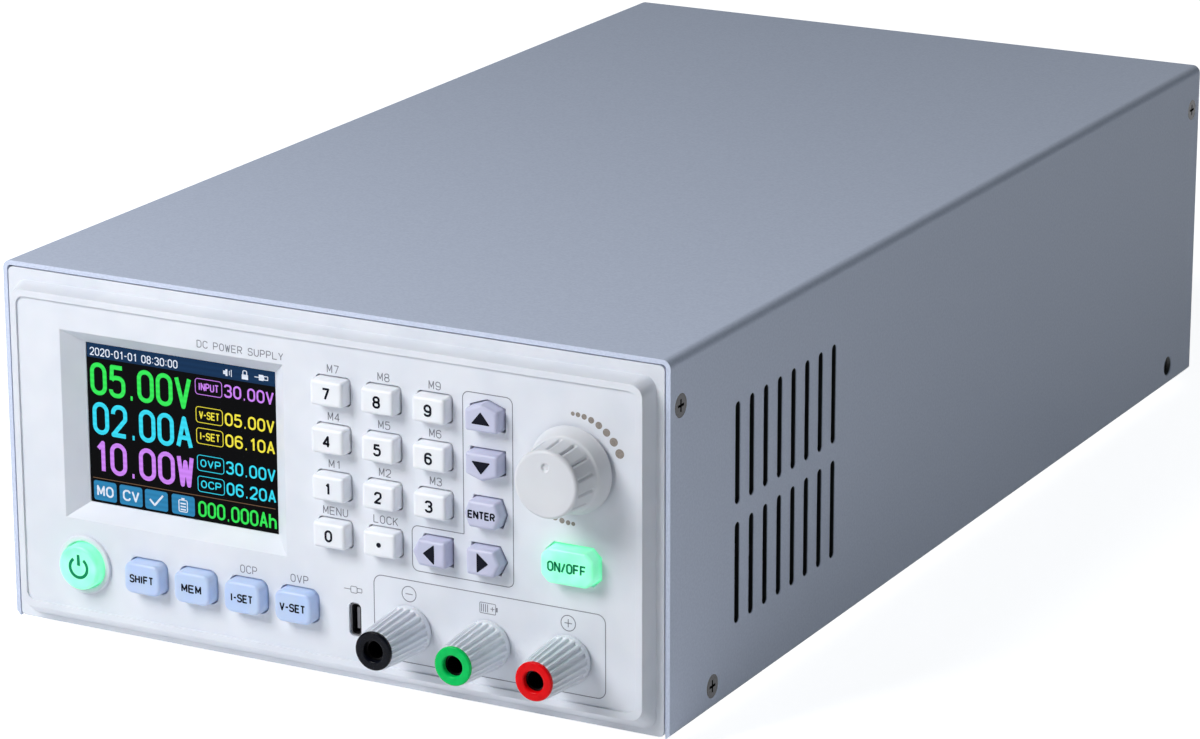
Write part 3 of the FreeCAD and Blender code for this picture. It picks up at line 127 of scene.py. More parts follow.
def tubeShape(grid, loopRows=False):
    # closed skin over a grid of rings; open ends are closed by a fan to the ring's middle
    rows, columns = grid.shape[:2]
    points = grid.reshape(-1, 3)
    faces = gridFaces(rows, columns, loopRows).tolist()
    if not loopRows:
        at = np.arange(columns)
        follow = (at + 1) % columns
        start, end = len(points), len(points) + 1
        points = np.vstack([points, grid[0].mean(axis=0), grid[-1].mean(axis=0)])
        last = (rows - 1) * columns
        faces += np.stack([follow, at, np.full(columns, start)], axis=1).tolist()
        faces += np.stack([last + at, last + follow, np.full(columns, end)], axis=1).tolist()
    return points, faces


def turnedShape(profile, centre, count, cut=None, loop=False):
    # Ring k has the profile's radius r and reach d in mm: (r cos a, -d, r sin a) about the centre,
    # front towards -Y. cut(angle, radius, reach) gives both back changed, as flutes do.
    profile = np.asarray(profile, float)
    angle = np.arange(count) * 2 * math.pi / count
    radius = np.repeat(profile[:, :1], count, axis=1)
    reach = np.repeat(profile[:, 1:2], count, axis=1)
    turn = np.broadcast_to(angle, radius.shape)
    if cut is not None:
        radius, reach = cut(turn, radius, reach)
    grid = np.stack([radius * np.cos(turn), -reach, radius * np.sin(turn)], axis=-1)
    return tubeShape(grid * mm + np.asarray(centre), loop)


def arcRows(radius, reach, size, start, end, count=6):
    # rows of a rounded edge about (radius, reach), between two angles from the outward direction
    angle = np.radians(np.linspace(start, end, count))
    return np.stack([radius + size * np.cos(angle), reach + size * np.sin(angle)], axis=1)


def runRows(first, last, count):
    # rows on a straight run of the profile, both ends included
    share = np.linspace(0, 1, count)[:, None]
    return np.array(first, float) * (1 - share) + np.array(last, float) * share


def plateShape(outline, front, back):
    # a flat solid with the given (x, z) outline between two depths, its edges closed
    ring = np.stack([outline[:, 0], np.zeros(len(outline)), outline[:, 1]], axis=1)
    grid = np.stack([ring + [0, back, 0], ring + [0, front, 0]])
    return tubeShape(grid)


def discOutline(centre, radius, count=32):
    angle = np.arange(count) * 2 * math.pi / count
    return np.asarray(centre) + radius * np.stack([np.cos(angle), np.sin(angle)], axis=1)


def ribbonShape(path, width, front, back, closed=True):
    # a flat band that follows a path in the front plane, half its width to each side
    path = np.asarray(path, float)
    ahead = np.roll(path, -1, axis=0) - path
    if not closed:
        ahead[-1] = ahead[-2]
    behind = np.roll(ahead, 1, axis=0)
    if not closed:
        behind[0] = ahead[0]
    ahead /= np.linalg.norm(ahead, axis=1, keepdims=True)
    behind /= np.linalg.norm(behind, axis=1, keepdims=True)
    along = ahead + behind
    along /= np.linalg.norm(along, axis=1, keepdims=True)
    side = np.stack([-along[:, 1], along[:, 0]], axis=1)
    side *= (width / 2 / np.maximum((along * ahead).sum(axis=1), 0.5))[:, None]
    edges = [(path + side, front), (path - side, front), (path - side, back), (path + side, back)]
    grid = np.stack([np.stack([edge[:, 0], np.full(len(path), depth), edge[:, 1]], axis=1)
                     for edge, depth in edges], axis=1)
    return tubeShape(grid, closed)


letters = {
    # strokes on a grid 4 wide and 6 high; a third number caps how round that corner is
    "0": [[(0, 0), (4, 0), (4, 6), (0, 6), "loop"]],
    "1": [[(0.9, 4.7, 0), (2.3, 6, 0), (2.3, 0)]],
    "2": [[(0.1, 4.4), (0.1, 6), (4, 6), (4, 3.5, 1), (0, 0, 0), (4, 0)]],
    "3": [[(0.1, 4.9), (0.1, 6), (3.8, 6), (3.8, 3.2), (1.6, 3.2)],
          [(1.6, 3.2), (4, 3.2), (4, 0), (0, 0), (0, 1.2)]],
    "4": [[(3, 0), (3, 6, 0), (0, 1.7, 0), (4, 1.7)]],
    "5": [[(3.7, 6), (0.5, 6, 0), (0.3, 3.2)],
          [(0.3, 3.2), (0.8, 3.8), (4, 3.8), (4, 0), (0, 0), (0, 1.2)]],
    "6": [[(3.8, 4.9), (3.8, 6), (0, 6), (0, 0), (4, 0), (4, 3.6), (0.1, 3.6)]],
    "7": [[(0, 6), (4, 6, 0), (1.5, 0)]],
    "8": [[(0, 0), (4, 0), (4, 3.1), (0, 3.1), "loop"],
          [(0.2, 3.1), (3.8, 3.1), (3.8, 6), (0.2, 6), "loop"]],
    "9": [[(0.2, 1.1), (0.2, 0), (4, 0), (4, 6), (0, 6), (0, 2.4), (3.9, 2.4)]],
    "A": [[(0, 0), (2, 6, 0), (4, 0)], [(0.6, 1.9), (3.4, 1.9)]],
    "C": [[(4, 4.6), (4, 6), (0, 6), (0, 0), (4, 0), (4, 1.4)]],
    "D": [[(0, 0), (0, 6)], [(0, 6), (4, 6), (4, 0), (0, 0)]],
    "E": [[(4, 0), (0, 0, 0), (0, 6, 0), (4, 6)], [(0, 3.1), (3.5, 3.1)]],
    "F": [[(0, 0), (0, 6, 0), (4, 6)], [(0, 3.1), (3.5, 3.1)]],
    "H": [[(0, 0), (0, 6)], [(4, 0), (4, 6)], [(0, 3.1), (4, 3.1)]],
    "I": [[(0.6, 0), (0.6, 6)]],
    "K": [[(0, 0), (0, 6)], [(3.8, 6), (0, 2.2)], [(1.4, 3.5), (4, 0)]],
    "L": [[(0, 6), (0, 0, 0), (4, 0)]],
    "M": [[(0, 0), (0, 6, 0), (2, 1.4, 0), (4, 6, 0), (4, 0)]],
    "N": [[(0, 0), (0, 6, 0), (4, 0, 0), (4, 6)]],
    "O": [[(0, 0), (4, 0), (4, 6), (0, 6), "loop"]],
    "P": [[(0, 0), (0, 6)], [(0, 6), (4, 6), (4, 2.7), (0, 2.7)]],
    "R": [[(0, 0), (0, 6)], [(0, 6), (4, 6), (4, 2.9), (0, 2.9)], [(1.9, 2.9), (4, 0)]],
    "S": [[(3.9, 4.8), (3.9, 6), (0.1, 6), (0.1, 3.1), (4, 3.1), (4, 0), (0, 0), (0, 1.2)]],
    "T": [[(0, 6), (4, 6)], [(2, 0), (2, 6)]],
    "U": [[(0, 6), (0, 0), (4, 0), (4, 6)]],
    "V": [[(0, 6), (2, 0, 0), (4, 6)]],
    "W": [[(0, 6), (1, 0, 0), (2, 5, 0), (3, 0, 0), (4, 6)]],
    "Y": [[(0, 6), (2, 2.8, 0), (4, 6)], [(2, 2.8), (2, 0)]],
    "h": [[(0, 0), (0, 6)], [(0, 2.4), (0.3, 4), (3.6, 4), (3.6, 0)]],
    "-": [[(0, 2.9), (2.4, 2.9)]],
    "/": [[(0, 0), (2.6, 6)]],
    ".": [[(0.3, 0), (0.9, 0)]],
    ":": [[(0.3, 1.2), (0.9, 1.2)], [(0.3, 4.4), (0.9, 4.4)]],
    " ": [],
}
letterWide = {"I": 1.2, ".": 1.2, ":": 1.2, "-": 2.4, "/": 2.6, "1": 3.2, "h": 3.6, " ": 2.4}
letterGrid = {"wide": 4, "high": 6, "gap": 1.9, "corner": 2.0}


def textShape(words, centre, width, height, stroke, front, back):
    # Letters as flat bands of one width along their strokes. The strokes' grid is stretched to the
    # stated width and height, and each corner turns on the widest arc that its two sides allow.
    wide = [letterWide.get(letter, letterGrid["wide"]) for letter in words]
    total = sum(wide) + letterGrid["gap"] * (len(words) - 1)
    scale = np.array([(width - stroke) / total, (height - stroke) / letterGrid["high"]])
    corner = np.array(centre) - np.array([width - stroke, height - stroke]) / 2
    shapes, start = [], 0.0
    for letter, across in zip(words, wide):
        for line in letters[letter]:
            closed = line[-1] == "loop"
            points = [point for point in line if point != "loop"]
            path = np.array([point[:2] for point in points], float)
            path = corner + (path + [start, 0]) * scale
            cap = np.array([point[2] if len(point) > 2 else letterGrid["corner"]
                            for point in points]) * scale[0]
            shapes.append(ribbonShape(bentPath(path, cap, closed, stroke), stroke, front, back,
                                      closed))
        start += across + letterGrid["gap"]
    return joined(shapes)


def bentPath(path, cap, closed, stroke):
    # Corners rounded as widely as cap and the sides allow: an arc reaches along a side by at most
    # half of it, or nearly all of it at a free end. Sharp corners keep a trace of a radius.
    if len(path) < 3:
        return path
    sides = np.linalg.norm(np.roll(path, -1, axis=0) - path, axis=1)
    after, before = sides / 2.02, np.roll(sides, 1) / 2.02
    if not closed:
        before[1], after[-2] = sides[0] * 0.98, sides[-2] * 0.98
    back = np.roll(path, 1, axis=0) - path
    ahead = np.roll(path, -1, axis=0) - path
    turn = (back * ahead).sum(axis=1) / (np.linalg.norm(back, axis=1)
                                         * np.linalg.norm(ahead, axis=1))
    half = np.arccos(np.clip(turn, -1, 1)) / 2
    widest = np.minimum(before, after) * np.tan(half)
    return softPath(path, np.maximum(np.minimum(cap, widest), stroke * 0.02), 7, closed)[0]


def joined(shapes):
    # several shapes as one list of points and faces
    points, faces, start = [], [], 0
    for one, sides in shapes:
        points.append(one)
        faces += [[corner + start for corner in side] for side in sides]
        start += len(one)
    return np.vstack(points), faces


def makePiece(name, shape, material, body, crease=35):
    # a mesh that rides on a body, smooth but for edges sharper than the crease in degrees
    points, faces = shape
    mesh = bpy.data.meshes.new(name)
    mesh.from_pydata(points.tolist(), [], faces)
    mesh.update()
    mesh.polygons.foreach_set("use_smooth", np.ones(len(mesh.polygons), bool))
    mesh.set_sharp_from_angle(angle=math.radians(crease))
    mesh.materials.append(material)
    piece = placed(name, mesh)
    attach(piece, body)
    return piece


def linear(hexCode, gain=1):
    # sRGB hex code as linear red, green and blue, times a gain, and alpha
    parts = [int(hexCode[at:at + 2], 16) / 255 for at in (1, 3, 5)]
    parts = [part / 12.92 if part <= 0.04045 else ((part + 0.055) / 1.055) ** 2.4
             for part in parts]
    return [min(1, part * gain) for part in parts] + [1]


def addNode(tree, kind, settings=None, links=None):
    # settings are attributes or unlinked sockets, links join a socket to another node's output
    node = tree.nodes.new("ShaderNode" + kind)
    for word, value in (settings or {}).items():
        if isinstance(word, str) and hasattr(node, word):
            setattr(node, word, value)
        else:
            node.inputs[word].default_value = value
    for word, output in (links or {}).items():
        tree.links.new(output, node.inputs[word])
    return node


def newFinish(name, hexCode, roughness, **more):
    # A material with its shader's own sockets set. Its kit for patterns is the node tree, the
    # shader and the object's coordinates.
    material = bpy.data.materials.new(name)
    material.use_nodes = True
    tree = material.node_tree
    shader = tree.nodes["Principled BSDF"]
    shader.inputs["Base Color"].default_value = linear(hexCode)
    shader.inputs["Roughness"].default_value = roughness
    for word, value in more.items():
        shader.inputs[word.replace("_", " ")].default_value = value
    return material, (tree, shader, addNode(tree, "TexCoord").outputs["Object"])


def mottle(kit, grain, low, high, detail=3, sockets=("Base Color",)):
    # noise whose blobs are the grain's size, as a colour ramp between two colours
    tree, shader, place = kit
    noise = addNode(tree, "TexNoise", {"Scale": 1 / grain, "Detail": detail}, {"Vector": place})
    ramp = addNode(tree, "ValToRGB", links={"Fac": noise.outputs["Fac"]})
    ramp.color_ramp.elements[0].position, ramp.color_ramp.elements[1].position = 0.35, 0.65
    ramp.color_ramp.elements[0].color, ramp.color_ramp.elements[1].color = low, high
    for socket in sockets:
        tree.links.new(ramp.outputs["Color"], shader.inputs[socket])


def rough(kit, grain, low, high):
    # roughness that drifts between two values in patches of the grain's size
    tree, shader, place = kit
    noise = addNode(tree, "TexNoise", {"Scale": 1 / grain, "Detail": 2}, {"Vector": place})
    span = addNode(tree, "MapRange", {"To Min": low, "To Max": high},
                   {"Value": noise.outputs["Fac"]})
    tree.links.new(span.outputs["Result"], shader.inputs["Roughness"])


def bumpy(kit, grain, height, edge=0):
    # fine relief of the surface; edge is the radius of a softened corner in the shading
    tree, shader, place = kit
    noise = addNode(tree, "TexNoise", {"Scale": 1 / grain, "Detail": 2}, {"Vector": place})
    bump = addNode(tree, "Bump", {"Strength": 1, "Distance": height},
                   {"Height": noise.outputs["Fac"]})
    if edge:
        corner = addNode(tree, "Bevel", {"samples": 4, "Radius": edge})
        tree.links.new(corner.outputs["Normal"], bump.inputs["Normal"])
    tree.links.new(bump.outputs["Normal"], shader.inputs["Normal"])


def powderCoat(name, hexCode, shade):
    # polyester powder coat, sprayed and baked: low sheen with a fine orange peel of about 0.5 mm
    material, kit = newFinish(name, hexCode, 0.5, IOR=1.5, Specular_IOR_Level=0.4)
    mottle(kit, 0.6 * mm, linear(shade), linear(hexCode))
    rough(kit, 3 * mm, 0.46, 0.58)
    bumpy(kit, 0.5 * mm, 0.03 * mm, edge=0.15 * mm)
    return material


# painted shade inside the cover's vent slots and countersinks: depths in mm below the outer face where it
# starts and where it is full, clear margins at the edges and top, and its near-black colour
slotShade = {"full": 0.3, "start": 0.1, "edges": 3, "top": 4, "hex": "#0B0C0E"}


def paintSlotShade(material, node):
    # Painted shade in narrow slots and countersinks: the points of the side walls that lie deeper
    # than the full depth below the outer face, clear of the sheet's front and back edges and of its
    # top, turn near-black in place of the powder coat.
    tree = material.node_tree
    shader = tree.nodes["Principled BSDF"]
    painted = shader.inputs["Base Color"].links[0].from_socket
    place = addNode(tree, "TexCoord").outputs["Object"]
    axes = addNode(tree, "SeparateXYZ", links={"Vector": place})
    low, high, middle = boxOf(node)
    side = addNode(tree, "Math", {"operation": "ABSOLUTE"}, {0: axes.outputs["X"]})
    deep = addNode(tree, "MapRange", {"From Min": high[0] - slotShade["full"] * mm,
                                      "From Max": high[0] - slotShade["start"] * mm,
                                      "To Min": 1, "To Max": 0}, {"Value": side.outputs["Value"]})
    along = addNode(tree, "Math", {"operation": "SUBTRACT", 1: middle[1]}, {0: axes.outputs["Y"]})
    far = addNode(tree, "Math", {"operation": "ABSOLUTE"}, {0: along.outputs["Value"]})
    reach = high[1] - middle[1] - slotShade["edges"] * mm
    share = deep.outputs["Result"]
    for value, limit in ((far.outputs["Value"], reach),
                         (axes.outputs["Z"], high[2] - slotShade["top"] * mm)):
        test = addNode(tree, "Math", {"operation": "LESS_THAN", 1: limit}, {0: value})
        share = addNode(tree, "Math", {"operation": "MULTIPLY"},
                        {0: share, 1: test.outputs["Value"]}).outputs["Value"]
    mixed = addNode(tree, "Mix", {"data_type": "RGBA"})
    # the colour sockets of a Mix node come after its number and vector ones
    factor, first, second, result = mixed.inputs[0], mixed.inputs[6], mixed.inputs[7], 2
    # the near-black colour of the painted shade
    second.default_value = linear(slotShade["hex"])
    tree.links.new(share, factor)
    tree.links.new(painted, first)
    tree.links.new(mixed.outputs[result], shader.inputs["Base Color"])


def mouldedAbs(name, hexCode, shade, roughness=0.42):
    # ABS moulded against a finely spark-eroded tool: satin, with a grain of about a quarter mm
    material, kit = newFinish(name, hexCode, roughness, IOR=1.54, Specular_IOR_Level=0.45,
                              Subsurface_Weight=0.05, Subsurface_Scale=1 * mm)
    mottle(kit, 9 * mm, linear(shade), linear(hexCode), detail=1)
    rough(kit, 1.2 * mm, roughness - 0.05, roughness + 0.06)
    bumpy(kit, 0.25 * mm, 0.01 * mm, edge=0.25 * mm)
    return material


def litPlastic(name, hexCode, glow, strength):
    # milky polycarbonate that glows by the given strength, brightest at the middle of the noise, satin
    # face: the green keys have a lamp behind them, while the blue keys' weak glow is painted light
    material, kit = newFinish(name, hexCode, 0.38, IOR=1.58, Subsurface_Weight=0.15,
                              Subsurface_Scale=2 * mm, Emission_Strength=strength)
    mottle(kit, 5 * mm, linear(glow), linear(hexCode), detail=1,
           sockets=("Emission Color", "Base Color"))
    bumpy(kit, 0.3 * mm, 0.006 * mm)
    return material


def screenInk(name, hexCode, strength=1.0):
    # a lit patch of the display: bright and even, with faint rows of dots rowPitch apart
    rowPitch, bandsPerScale = 0.2 * mm, 20
    material, (tree, shader, place) = newFinish(name, "#020203", 0.2, IOR=1.5,
                                                Specular_IOR_Level=0.03,
                                                Emission_Strength=strength)
    wave = addNode(tree, "TexWave", {"Scale": 1 / rowPitch / bandsPerScale, "wave_type": "BANDS",
                                     "bands_direction": "Z"}, {"Vector": place})
    ramp = addNode(tree, "ValToRGB", links={"Fac": wave.outputs["Fac"]})
    ramp.color_ramp.elements[0].color = linear(hexCode, 0.86)
    ramp.color_ramp.elements[1].color = linear(hexCode)
    tree.links.new(ramp.outputs["Color"], shader.inputs["Emission Color"])
    return material


def acrylicLens(name, hexCode):
    # hard-coated acrylic over the dark display: deep black with a faint sharp reflection
    material, kit = newFinish(name, hexCode, 0.1, IOR=1.49, Specular_IOR_Level=0.03)
    rough(kit, 6 * mm, 0.07, 0.14)
    return material


def glossNylon(name, hexCode, shade):
    # glass-free nylon moulded in a polished tool: full colour with a small bright highlight
    material, kit = newFinish(name, hexCode, 0.22, IOR=1.53, Specular_IOR_Level=0.09)
    mottle(kit, 2 * mm, linear(shade), linear(hexCode), detail=1)
    rough(kit, 1.5 * mm, 0.18, 0.3)
    return material


def padPrint(name, hexCode):
    # pad-printed two-part ink: thin and matt, a little uneven in its cover
    material, kit = newFinish(name, hexCode, 0.55, IOR=1.48, Specular_IOR_Level=0.1)
    mottle(kit, 0.4 * mm, linear(hexCode), linear(hexCode, 1.25))
    return material


def metal(name, hexCode, roughness, grain, stretch=(1, 1, 1), shade=None):
    # plated or drawn metal; a stretched noise gives the direction of the tool marks
    material, (tree, shader, place) = newFinish(name, hexCode, roughness, Metallic=1)
    spread = addNode(tree, "Mapping", {"Scale": stretch}, {"Vector": place})
    kit = (tree, shader, spread.outputs["Vector"])
    mottle(kit, grain * 4, linear(shade or hexCode), linear(hexCode))
    rough(kit, grain * 3, roughness * 0.8, roughness * 1.25)
    bumpy(kit, grain, 0.004 * mm)
    return material


def rubber(name, hexCode, dust):
    # moulded nitrile: dull, with a slightly dusty surface
    material, kit = newFinish(name, hexCode, 0.8, IOR=1.52)
    mottle(kit, 2 * mm, linear(hexCode), linear(dust))
    bumpy(kit, 0.4 * mm, 0.03 * mm)
    return material


def solderMask(name, hexCode, copper):
    # glass-epoxy board under green solder mask, with the copper's paler runs showing through
    material, (tree, shader, place) = newFinish(name, hexCode, 0.3, IOR=1.55, Coat_Weight=0.3)
    cells = addNode(tree, "TexVoronoi", {"Scale": 1 / (4 * mm), "distance": "CHEBYCHEV"},
                    {"Vector": place})
    ramp = addNode(tree, "ValToRGB", links={"Fac": cells.outputs["Distance"]})
    ramp.color_ramp.elements[0].color = linear(copper)
    ramp.color_ramp.elements[1].color = linear(hexCode)
    tree.links.new(ramp.outputs["Color"], shader.inputs["Base Color"])
    return material


finishes = {
    "caseCoat": powderCoat("powderCoatGrey", "#D0D9EE", "#C8D1E7"),
    "coverCoat": powderCoat("powderCoatSlotted", "#D0D9EE", "#C8D1E7"),
    "panelAbs": mouldedAbs("mouldedAbsWhite", "#E2E5ED", "#DCE0E9"),
    "keyAbs": mouldedAbs("keyAbsWhite", "#EFF1F6", "#E9ECF3", 0.36),
    "arrowAbs": mouldedAbs("keyAbsLavender", "#C6C8E0", "#BFC1DB", 0.36),
    # no lamp behind the blue keys: their weak glow is painted light that makes them look lighter
    "functionAbs": litPlastic("keyPolycarbonateBlue", "#B3C5E3", "#AEC3E8", 0.1),
    "litGreen": litPlastic("keyPolycarbonateGreen", "#7CF5BC", "#96FFD0", 0.45),
    "capAbs": mouldedAbs("terminalAbsGrey", "#E4E8EF", "#DCE0E9", 0.4),
    "blackGloss": glossNylon("terminalNylonBlack", "#04060F", "#070A14"),
    "greenGloss": glossNylon("terminalNylonGreen", "#04C860", "#04BE5A"),
    "redGloss": glossNylon("terminalNylonRed", "#E8060F", "#DC050D"),
    "lens": acrylicLens("acrylicLens", "#030305"),
    "knobAbs": mouldedAbs("knobAbsGrey", "#DCDEE3", "#D7D9DF", 0.4),
    # shell of the port, darkened as painted shade of its slot: dull dark grey
    "darkNickel": metal("portNickelPaintedShade", "#6A6A6E", 0.4, 0.4 * mm),
    "blackAbs": mouldedAbs("mouldedAbsBlack", "#1B1C20", "#222328", 0.5),
    # studs seen down a narrow bore: nickel darkened to nearly black as painted shade of the bore, with a
    # brownish glint
    "postBore": metal("boreNickelPaintedShade", "#2C2B2D", 0.35, 0.4 * mm),
    # plated pins, nuts and wire: bright and a little warm
    "nickel": metal("nickelPlate", "#D6D2C8", 0.22, 0.5 * mm),
    # rolled sheet under zinc: cool grey, streaked along one way
    "zinc": metal("zincPlateSheet", "#B9BCC0", 0.42, 0.8 * mm, (1, 6, 1), "#A9ADB2"),
    # die lines run along the fins: silky pale grey
    "extruded": metal("extrudedAluminium", "#C8CACD", 0.35, 0.4 * mm, (8, 1, 1)),
    # oiled screws: charcoal with a soft sheen
    "blackOxide": metal("blackOxideSteel", "#37373A", 0.26, 0.3 * mm),
    "footRubber": rubber("nitrileRubber", "#17181B", "#24252A"),
    "board": solderMask("solderMaskGreen", "#14552F", "#1F7A45"),
    "greyInk": padPrint("padInkGrey", "#7E7F88"),
    "darkInk": padPrint("padInkDark", "#0A0C1A"),
    "greenInk": padPrint("padInkGreen", "#0E8055"),
    "dotInk": padPrint("padInkBrown", "#8D857F"),
}
print("finishes made,", len(finishes))


def coat(obj, key):
    obj.data.materials.clear()
    obj.data.materials.append(finishes[key])


nodeFinish = {
    "cover": "coverCoat", "rear_panel": "caseCoat", "front_panel": "panelAbs", "feet": "footRubber",
    "chassis_tray": "zinc", "cover_screws": "blackOxide", "fixing_screws": "zinc",
    "display_glass": "lens", "display_module": "zinc", "control_board": "board",
    "main_board": "board", "supply_board": "board", "key_switches": "blackAbs",
    "usb_port": "darkNickel", "encoder_body": "zinc", "encoder_plunger": "blackAbs",
    "encoder_shaft": "nickel", "panel_nuts": "nickel", "heat_sink": "extruded",
    "board_parts": "blackAbs", "supply_case": "zinc", "fan_frame": "blackAbs",
    "fan_rotor": "blackAbs", "fan_guard": "nickel", "mains_inlet": "blackAbs",
    "inlet_pins": "nickel", "mains_rocker": "blackAbs",
    "post_stud_black": "postBore", "post_stud_green": "postBore", "post_stud_red": "postBore",
}
for nodeName, finishKey in nodeFinish.items():
    coat(nodes[nodeName], finishKey)
# painted shade inside the cover's vent slots and countersinks
paintSlotShade(finishes["coverCoat"], "cover")
print("frame finished")


# the panel's flat face lies a little behind its rim, and its print stands just in front of it
panel = {"rimStep": 0.4, "inkStand": 0.02}
panelFace = boxOf("front_panel")[0][1] + panel["rimStep"] * mm
inkDepths = (panelFace - panel["inkStand"] * mm, panelFace + hidden)


def onPanel(words, centre, width, height, stroke):
    return textShape(words, centre, width * mm, height * mm, stroke * mm, *inkDepths)


keySizes = {
    "lip": 0.8, "lipThick": 0.8, "lipGap": 0.1, "wall": 2.5, "rise": 3.2, "stem": 1.5, "back": 7.2,
    "edge": 0.75, "draft": 0.12, "dish": 0.06, "steps": 6, "inkStand": 0.015,
}


def houseCorners(half, tail, shoulder, tip):
    return np.array([(-half, -tail), (half, -tail), (half, shoulder), (0, tip), (-half, shoulder)])


def quarterTurns(corners, times):
    for turn in range(times):
        corners = np.stack([-corners[:, 1], corners[:, 0]], axis=1)
    return corners


def boxCorners(width, height):
    return np.array([(-1, -1), (1, -1), (1, 1), (-1, 1)]) * (width / 2, height / 2)


def cutCorners(halfWidth, halfHeight, cut):
    return np.array([(-halfWidth + cut, -halfHeight), (halfWidth - cut, -halfHeight),
                     (halfWidth, -halfHeight + cut), (halfWidth, halfHeight - cut),
                     (halfWidth - cut, halfHeight), (-halfWidth + cut, halfHeight),
                     (-halfWidth, halfHeight - cut), (-halfWidth, -halfHeight + cut)])


keyForms = {
    "digit": (boxCorners(8.3, 6.0), 0.85),
    "up": (houseCorners(4.1, 3.1, 1.9, 3.3), 0.8),
    "down": (quarterTurns(houseCorners(4.1, 3.1, 1.9, 3.3), 2), 0.8),
    "right": (quarterTurns(houseCorners(3.1, 4.1, 2.8, 4.4), 3), 0.8),
    "left": (quarterTurns(houseCorners(3.1, 4.1, 2.8, 4.4), 1), 0.8),
    "enter": (np.array([(-4.5, 0), (-3.3, -3.1), (3.3, -3.1), (4.5, 0), (3.3, 3.1), (-3.3, 3.1)]),
              0.8),
    "function": (boxCorners(9.6, 7.5), 2.0),
    "output": (cutCorners(6.5, 4.1, 1.9), 1.5),
}


def keyMiddle(node, form):
    # the key's own centre: its outline's box and its node's box share a middle
    corners = keyForms[form][0]
    shift = (corners.min(axis=0) + corners.max(axis=0)) / 2 * mm
    return boxOf(node)[2][[0, 2]] - shift


def keyShape(node, form):
    # Rings of one outline, each pulled in along the outline's outward direction by an inset and
    # set at a depth: stem, retaining lip, drafted wall, an arc over the edge and a shallow dish.
    s = keySizes
    corners, radius = keyForms[form]
    outline, outward = softPath(corners, radius, s["steps"])
    unit = outline / np.linalg.norm(outline, axis=1, keepdims=True)
    stem = unit * s["stem"]
    lip, lipBack = outline + outward * s["lip"], s["wall"] + s["lipGap"] + s["lipThick"]
    rings = [(stem, s["back"]), (stem, lipBack), (lip, lipBack), (lip, s["wall"] + s["lipGap"]),
             (outline, s["wall"] + s["lipGap"])]
    arc = np.linspace(0, math.pi / 2, 6)
    wallTop = s["edge"] - s["rise"]
    rings += [(outline - outward * (s["draft"] + s["edge"] * (1 - math.cos(a))),
               wallTop - s["edge"] * math.sin(a)) for a in arc]
    rim = rings[-1][0]
    rings += [(rim * (1 - part), -s["rise"] + s["dish"] * math.sin(part * math.pi / 2))
              for part in (0.12, 0.3, 0.5, 0.7, 0.88)]
    grid = np.stack([np.stack([ring[:, 0], np.full(len(ring), depth), ring[:, 1]], axis=1)
                     for ring, depth in rings])
    middle = keyMiddle(node, form)
    return tubeShape(grid * mm + [middle[0], panelFace, middle[1]])


keyFace = panelFace - keySizes["rise"] * mm
keyInkDepths = (keyFace - keySizes["inkStand"] * mm, keyFace + 0.2 * mm)


def keyInk(node, form, words, width, height, stroke):
    return textShape(words, keyMiddle(node, form), width * mm, height * mm, stroke * mm,
                     *keyInkDepths)


def arrowInk(node, form, way):
    triangle = np.array([(-2.3, -1.25), (2.3, -1.25), (0, 1.55)])
    outline, _ = softPath(quarterTurns(triangle, way), 0.12, 3)
    return plateShape(outline * mm + keyMiddle(node, form), *keyInkDepths)


def makeKey(node, form, finish, inkShape, ink):
    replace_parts(makePiece("cap_" + node, keyShape(node, form), finishes[finish], node), node)
    makePiece("legend_" + node, inkShape, finishes[ink], node)


for digit in "0123456789":
    digitNode = "key_" + digit
    inkPart = keyInk(digitNode, "digit", digit, 1.55 if digit == "1" else 1.9, 2.75, 0.48)
    makeKey(digitNode, "digit", "keyAbs", inkPart, "darkInk")
pointDot = plateShape(discOutline(keyMiddle("key_point", "digit"), 0.55 * mm), *keyInkDepths)
makeKey("key_point", "digit", "keyAbs", pointDot, "darkInk")
for arrowName, turnsLeft in (("up", 0), ("left", 1), ("down", 2), ("right", 3)):
    makeKey("key_" + arrowName, arrowName, "arrowAbs",
            arrowInk("key_" + arrowName, arrowName, turnsLeft), "darkInk")
makeKey("key_enter", "enter", "arrowAbs",
        keyInk("key_enter", "enter", "ENTER", 6.7, 1.85, 0.36), "darkInk")
for functionName, words, width in (("shift", "SHIFT", 6.3), ("memory", "MEM", 5.2),
                                   ("current", "I-SET", 5.8), ("voltage", "V-SET", 6.6)):
    makeKey("key_" + functionName, "function", "functionAbs",
            keyInk("key_" + functionName, "function", words, width, 1.95, 0.34), "darkInk")
makeKey("key_output", "output", "litGreen",
        keyInk("key_output", "output", "ON/OFF", 9.4, 2.35, 0.42), "greenInk")
print("keys made")


# round power button and its ring
power = {"radius": 5.3, "ringRadius": 6.85, "ringRise": 0.8, "gap": 0.25, "sleeve": 6.1,
         "lipBack": 3.4, "lipFront": 2.6, "edge": 0.7, "dish": 0.35, "iconRadius": 2.3,
         "stroke": 0.72, "iconStand": 0.12, "bar": (0.5, 3.1)}
powerMiddle = boxOf("power_button")[2]
powerCentre = np.array([powerMiddle[0], panelFace, powerMiddle[2]])


def powerButtonShape():
    # stem, lip, wall, rounded edge and a face that dips towards its middle
    s = keySizes
    back = [(s["stem"], -s["back"]), (s["stem"], -power["lipBack"]),
            (power["sleeve"], -power["lipBack"]), (power["sleeve"], -power["lipFront"]),
            (power["radius"], -power["lipFront"])]
    edge = arcRows(power["radius"] - power["edge"] - 0.1, s["rise"] - power["edge"], power["edge"],
                   0, 90)
    face = [(power["radius"] * part, s["rise"] - power["dish"] * (1 - part ** 2))
            for part in (0.8, 0.6, 0.4, 0.2, 0.05)]
    return turnedShape(np.vstack([back, edge, face]), powerCentre, 64)


